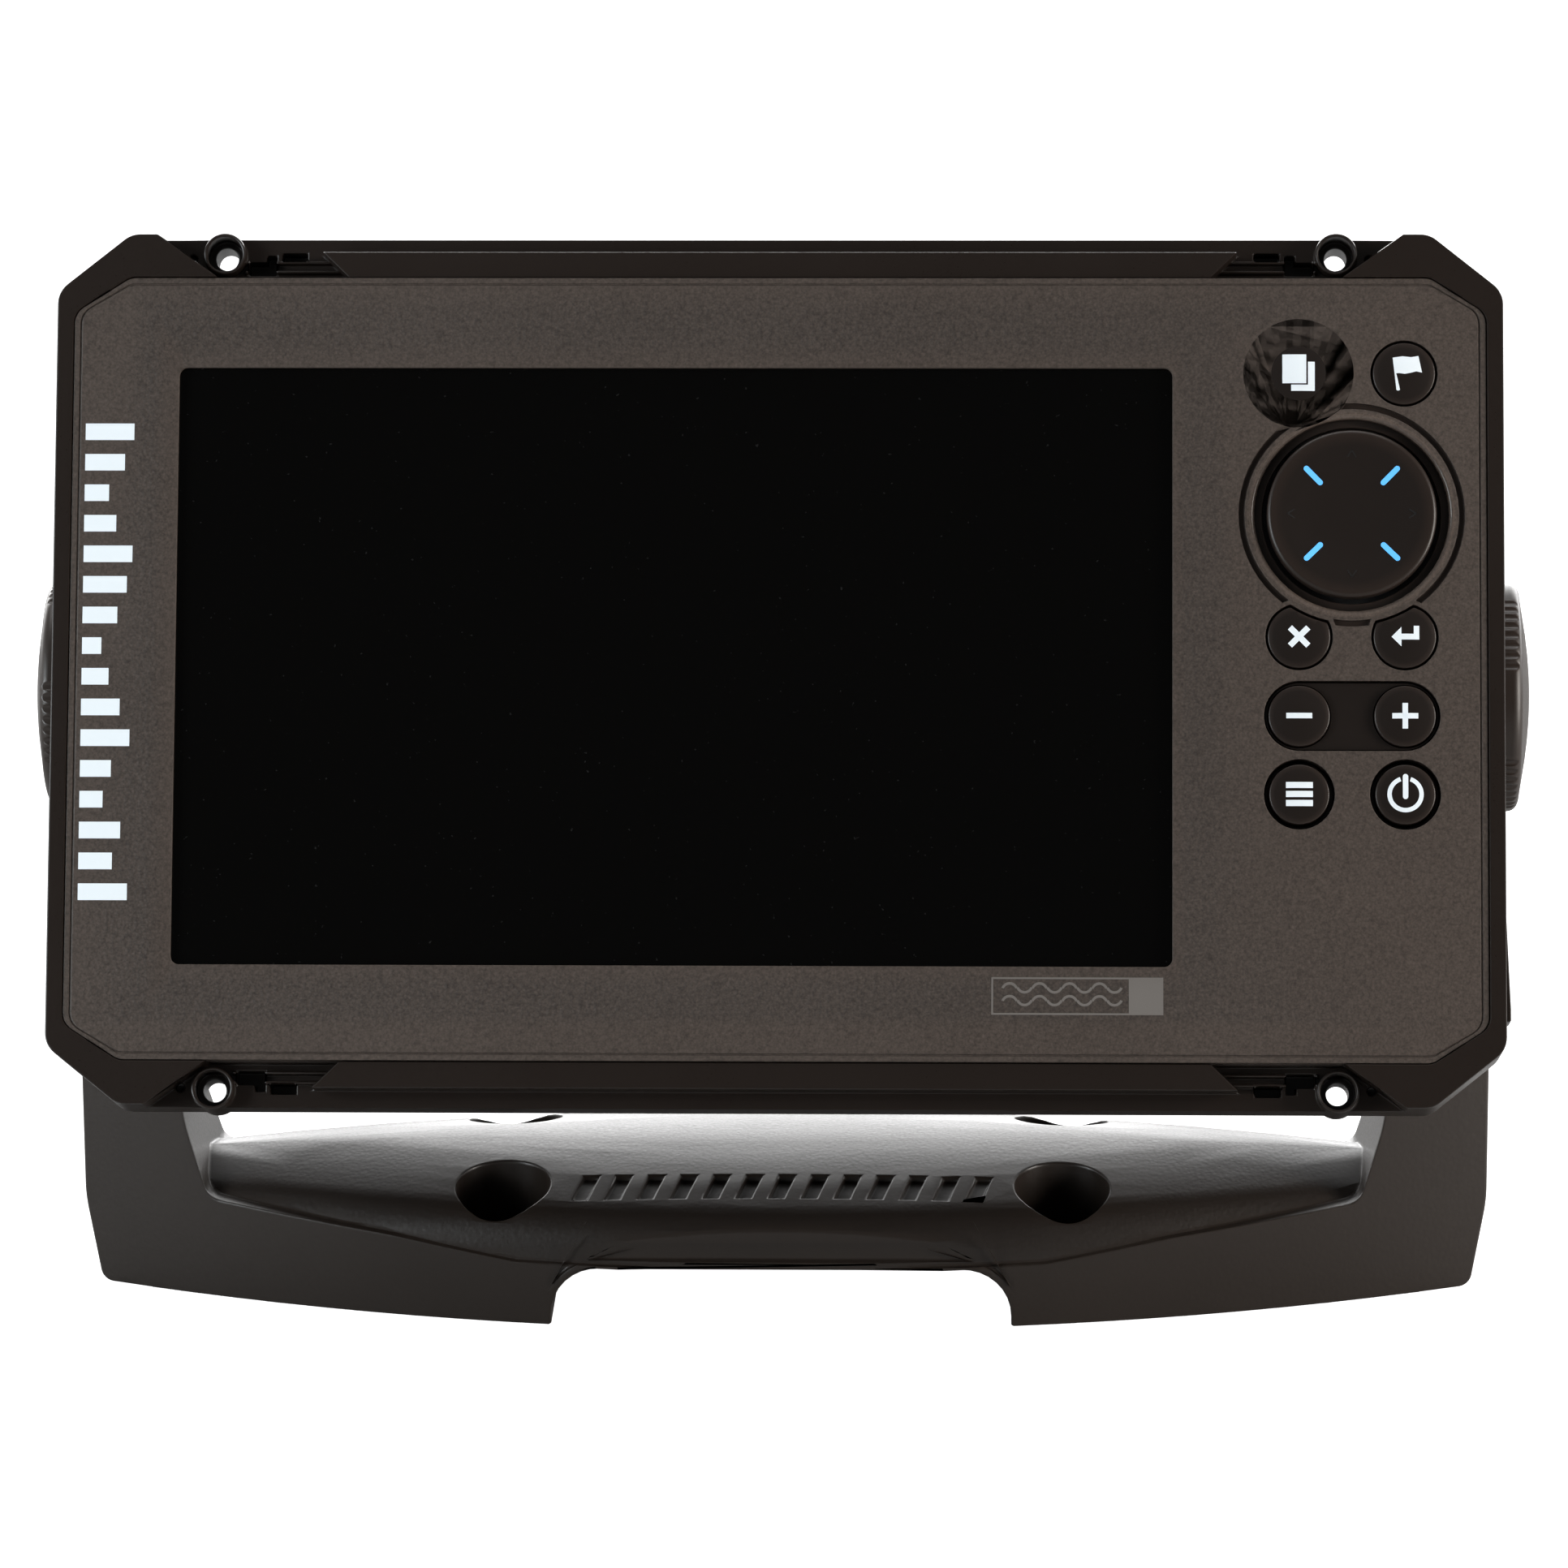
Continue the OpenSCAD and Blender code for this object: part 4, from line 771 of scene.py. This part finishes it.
def sky():
    """Dim in front, with a bright band low behind, bright sides and a soft top."""
    world = bpy.data.worlds.new("studio")
    world.use_nodes = True
    tree = world.node_tree
    background = tree.nodes["Background"]
    background.inputs["Color"].default_value = (1, 1, 1, 1)
    bpy.context.scene.world = world
    holder = Paint.__new__(Paint)    # only its node methods are wanted, on the world's own tree
    holder.tree = tree
    way = holder.node("ShaderNodeTexCoord", out="Generated")
    across, behind, up = (
        holder.node("ShaderNodeSeparateXYZ", None, {"Vector": way}, out=axis) for axis in ("X", "Y", "Z"))
    rear = behind.between(0.25, 0.95)
    band = rear * (1 - up.between(0.30, 0.65)) + rear * (1 - up.between(0.02, 0.22)) * 0.8
    sides = (across * across).between(0.45, 0.95)
    top = up.between(0.55, 0.95)
    holder.put(background.inputs["Strength"], DIM + band * BAND + sides * SIDES + top * TOP)


def lamp(name, place, aim, size, power, colour=(1, 1, 1)):
    light = bpy.data.lights.new(name, "AREA")
    light.shape = "RECTANGLE"
    light.size, light.size_y = size
    light.energy, light.color = power, colour
    made = bpy.data.objects.new(name, light)
    made.location = place
    made.rotation_euler = (Vector(aim) - Vector(place)).to_track_quat("-Z", "Y").to_euler()
    bpy.context.scene.collection.objects.link(made)


sky()
HEART = (0, 0, 0.08)
COOL, WARM = (0.90, 0.97, 1.0), (1.0, 0.94, 0.87)
lamp("left_panel", (-0.62, -0.42, 0.26), (-0.09, 0, 0.09), (0.30, 0.45), 3.3, COOL)
lamp("right_panel", (0.70, -0.24, 0.22), (0, 0, 0.09), (0.25, 0.45), 4.6, WARM)
lamp("overhead", (0, 0.30, 1.0), HEART, (1.0, 0.5), 5.0)
bpy.context.scene.view_settings.view_transform = "Standard"

# %% Camera
ELEVATION, AZIMUTH, ROLL = math.radians(16.0), math.radians(-1.809), math.radians(-0.372)
DISTANCE, TARGET = 1.3065, Vector((0.00016, 0, 0.0810))
FOCAL, SENSOR = 188.944, 36
level = Vector((math.sin(AZIMUTH), math.cos(AZIMUTH), 0))
view = level * math.cos(ELEVATION) - Vector((0, 0, math.sin(ELEVATION)))
right = Vector((math.cos(AZIMUTH), -math.sin(AZIMUTH), 0))
above = right.cross(view)
camera_right = right * math.cos(ROLL) + above * math.sin(ROLL)
camera_up = camera_right.cross(view)
camera_data = bpy.data.cameras.new("camera")
camera_data.lens, camera_data.sensor_width = FOCAL, SENSOR
camera_data.clip_start, camera_data.clip_end = 0.05, 50
camera = bpy.data.objects.new("camera", camera_data)
camera.matrix_world = Matrix.Translation(TARGET - view * DISTANCE) @ Matrix((
    (camera_right.x, camera_up.x, -view.x, 0),
    (camera_right.y, camera_up.y, -view.y, 0),
    (camera_right.z, camera_up.z, -view.z, 0),
    (0, 0, 0, 1),
))
bpy.context.scene.collection.objects.link(camera)
bpy.context.scene.camera = camera
print(f"camera: {FOCAL:.0f} mm lens at {DISTANCE:.2f} m")
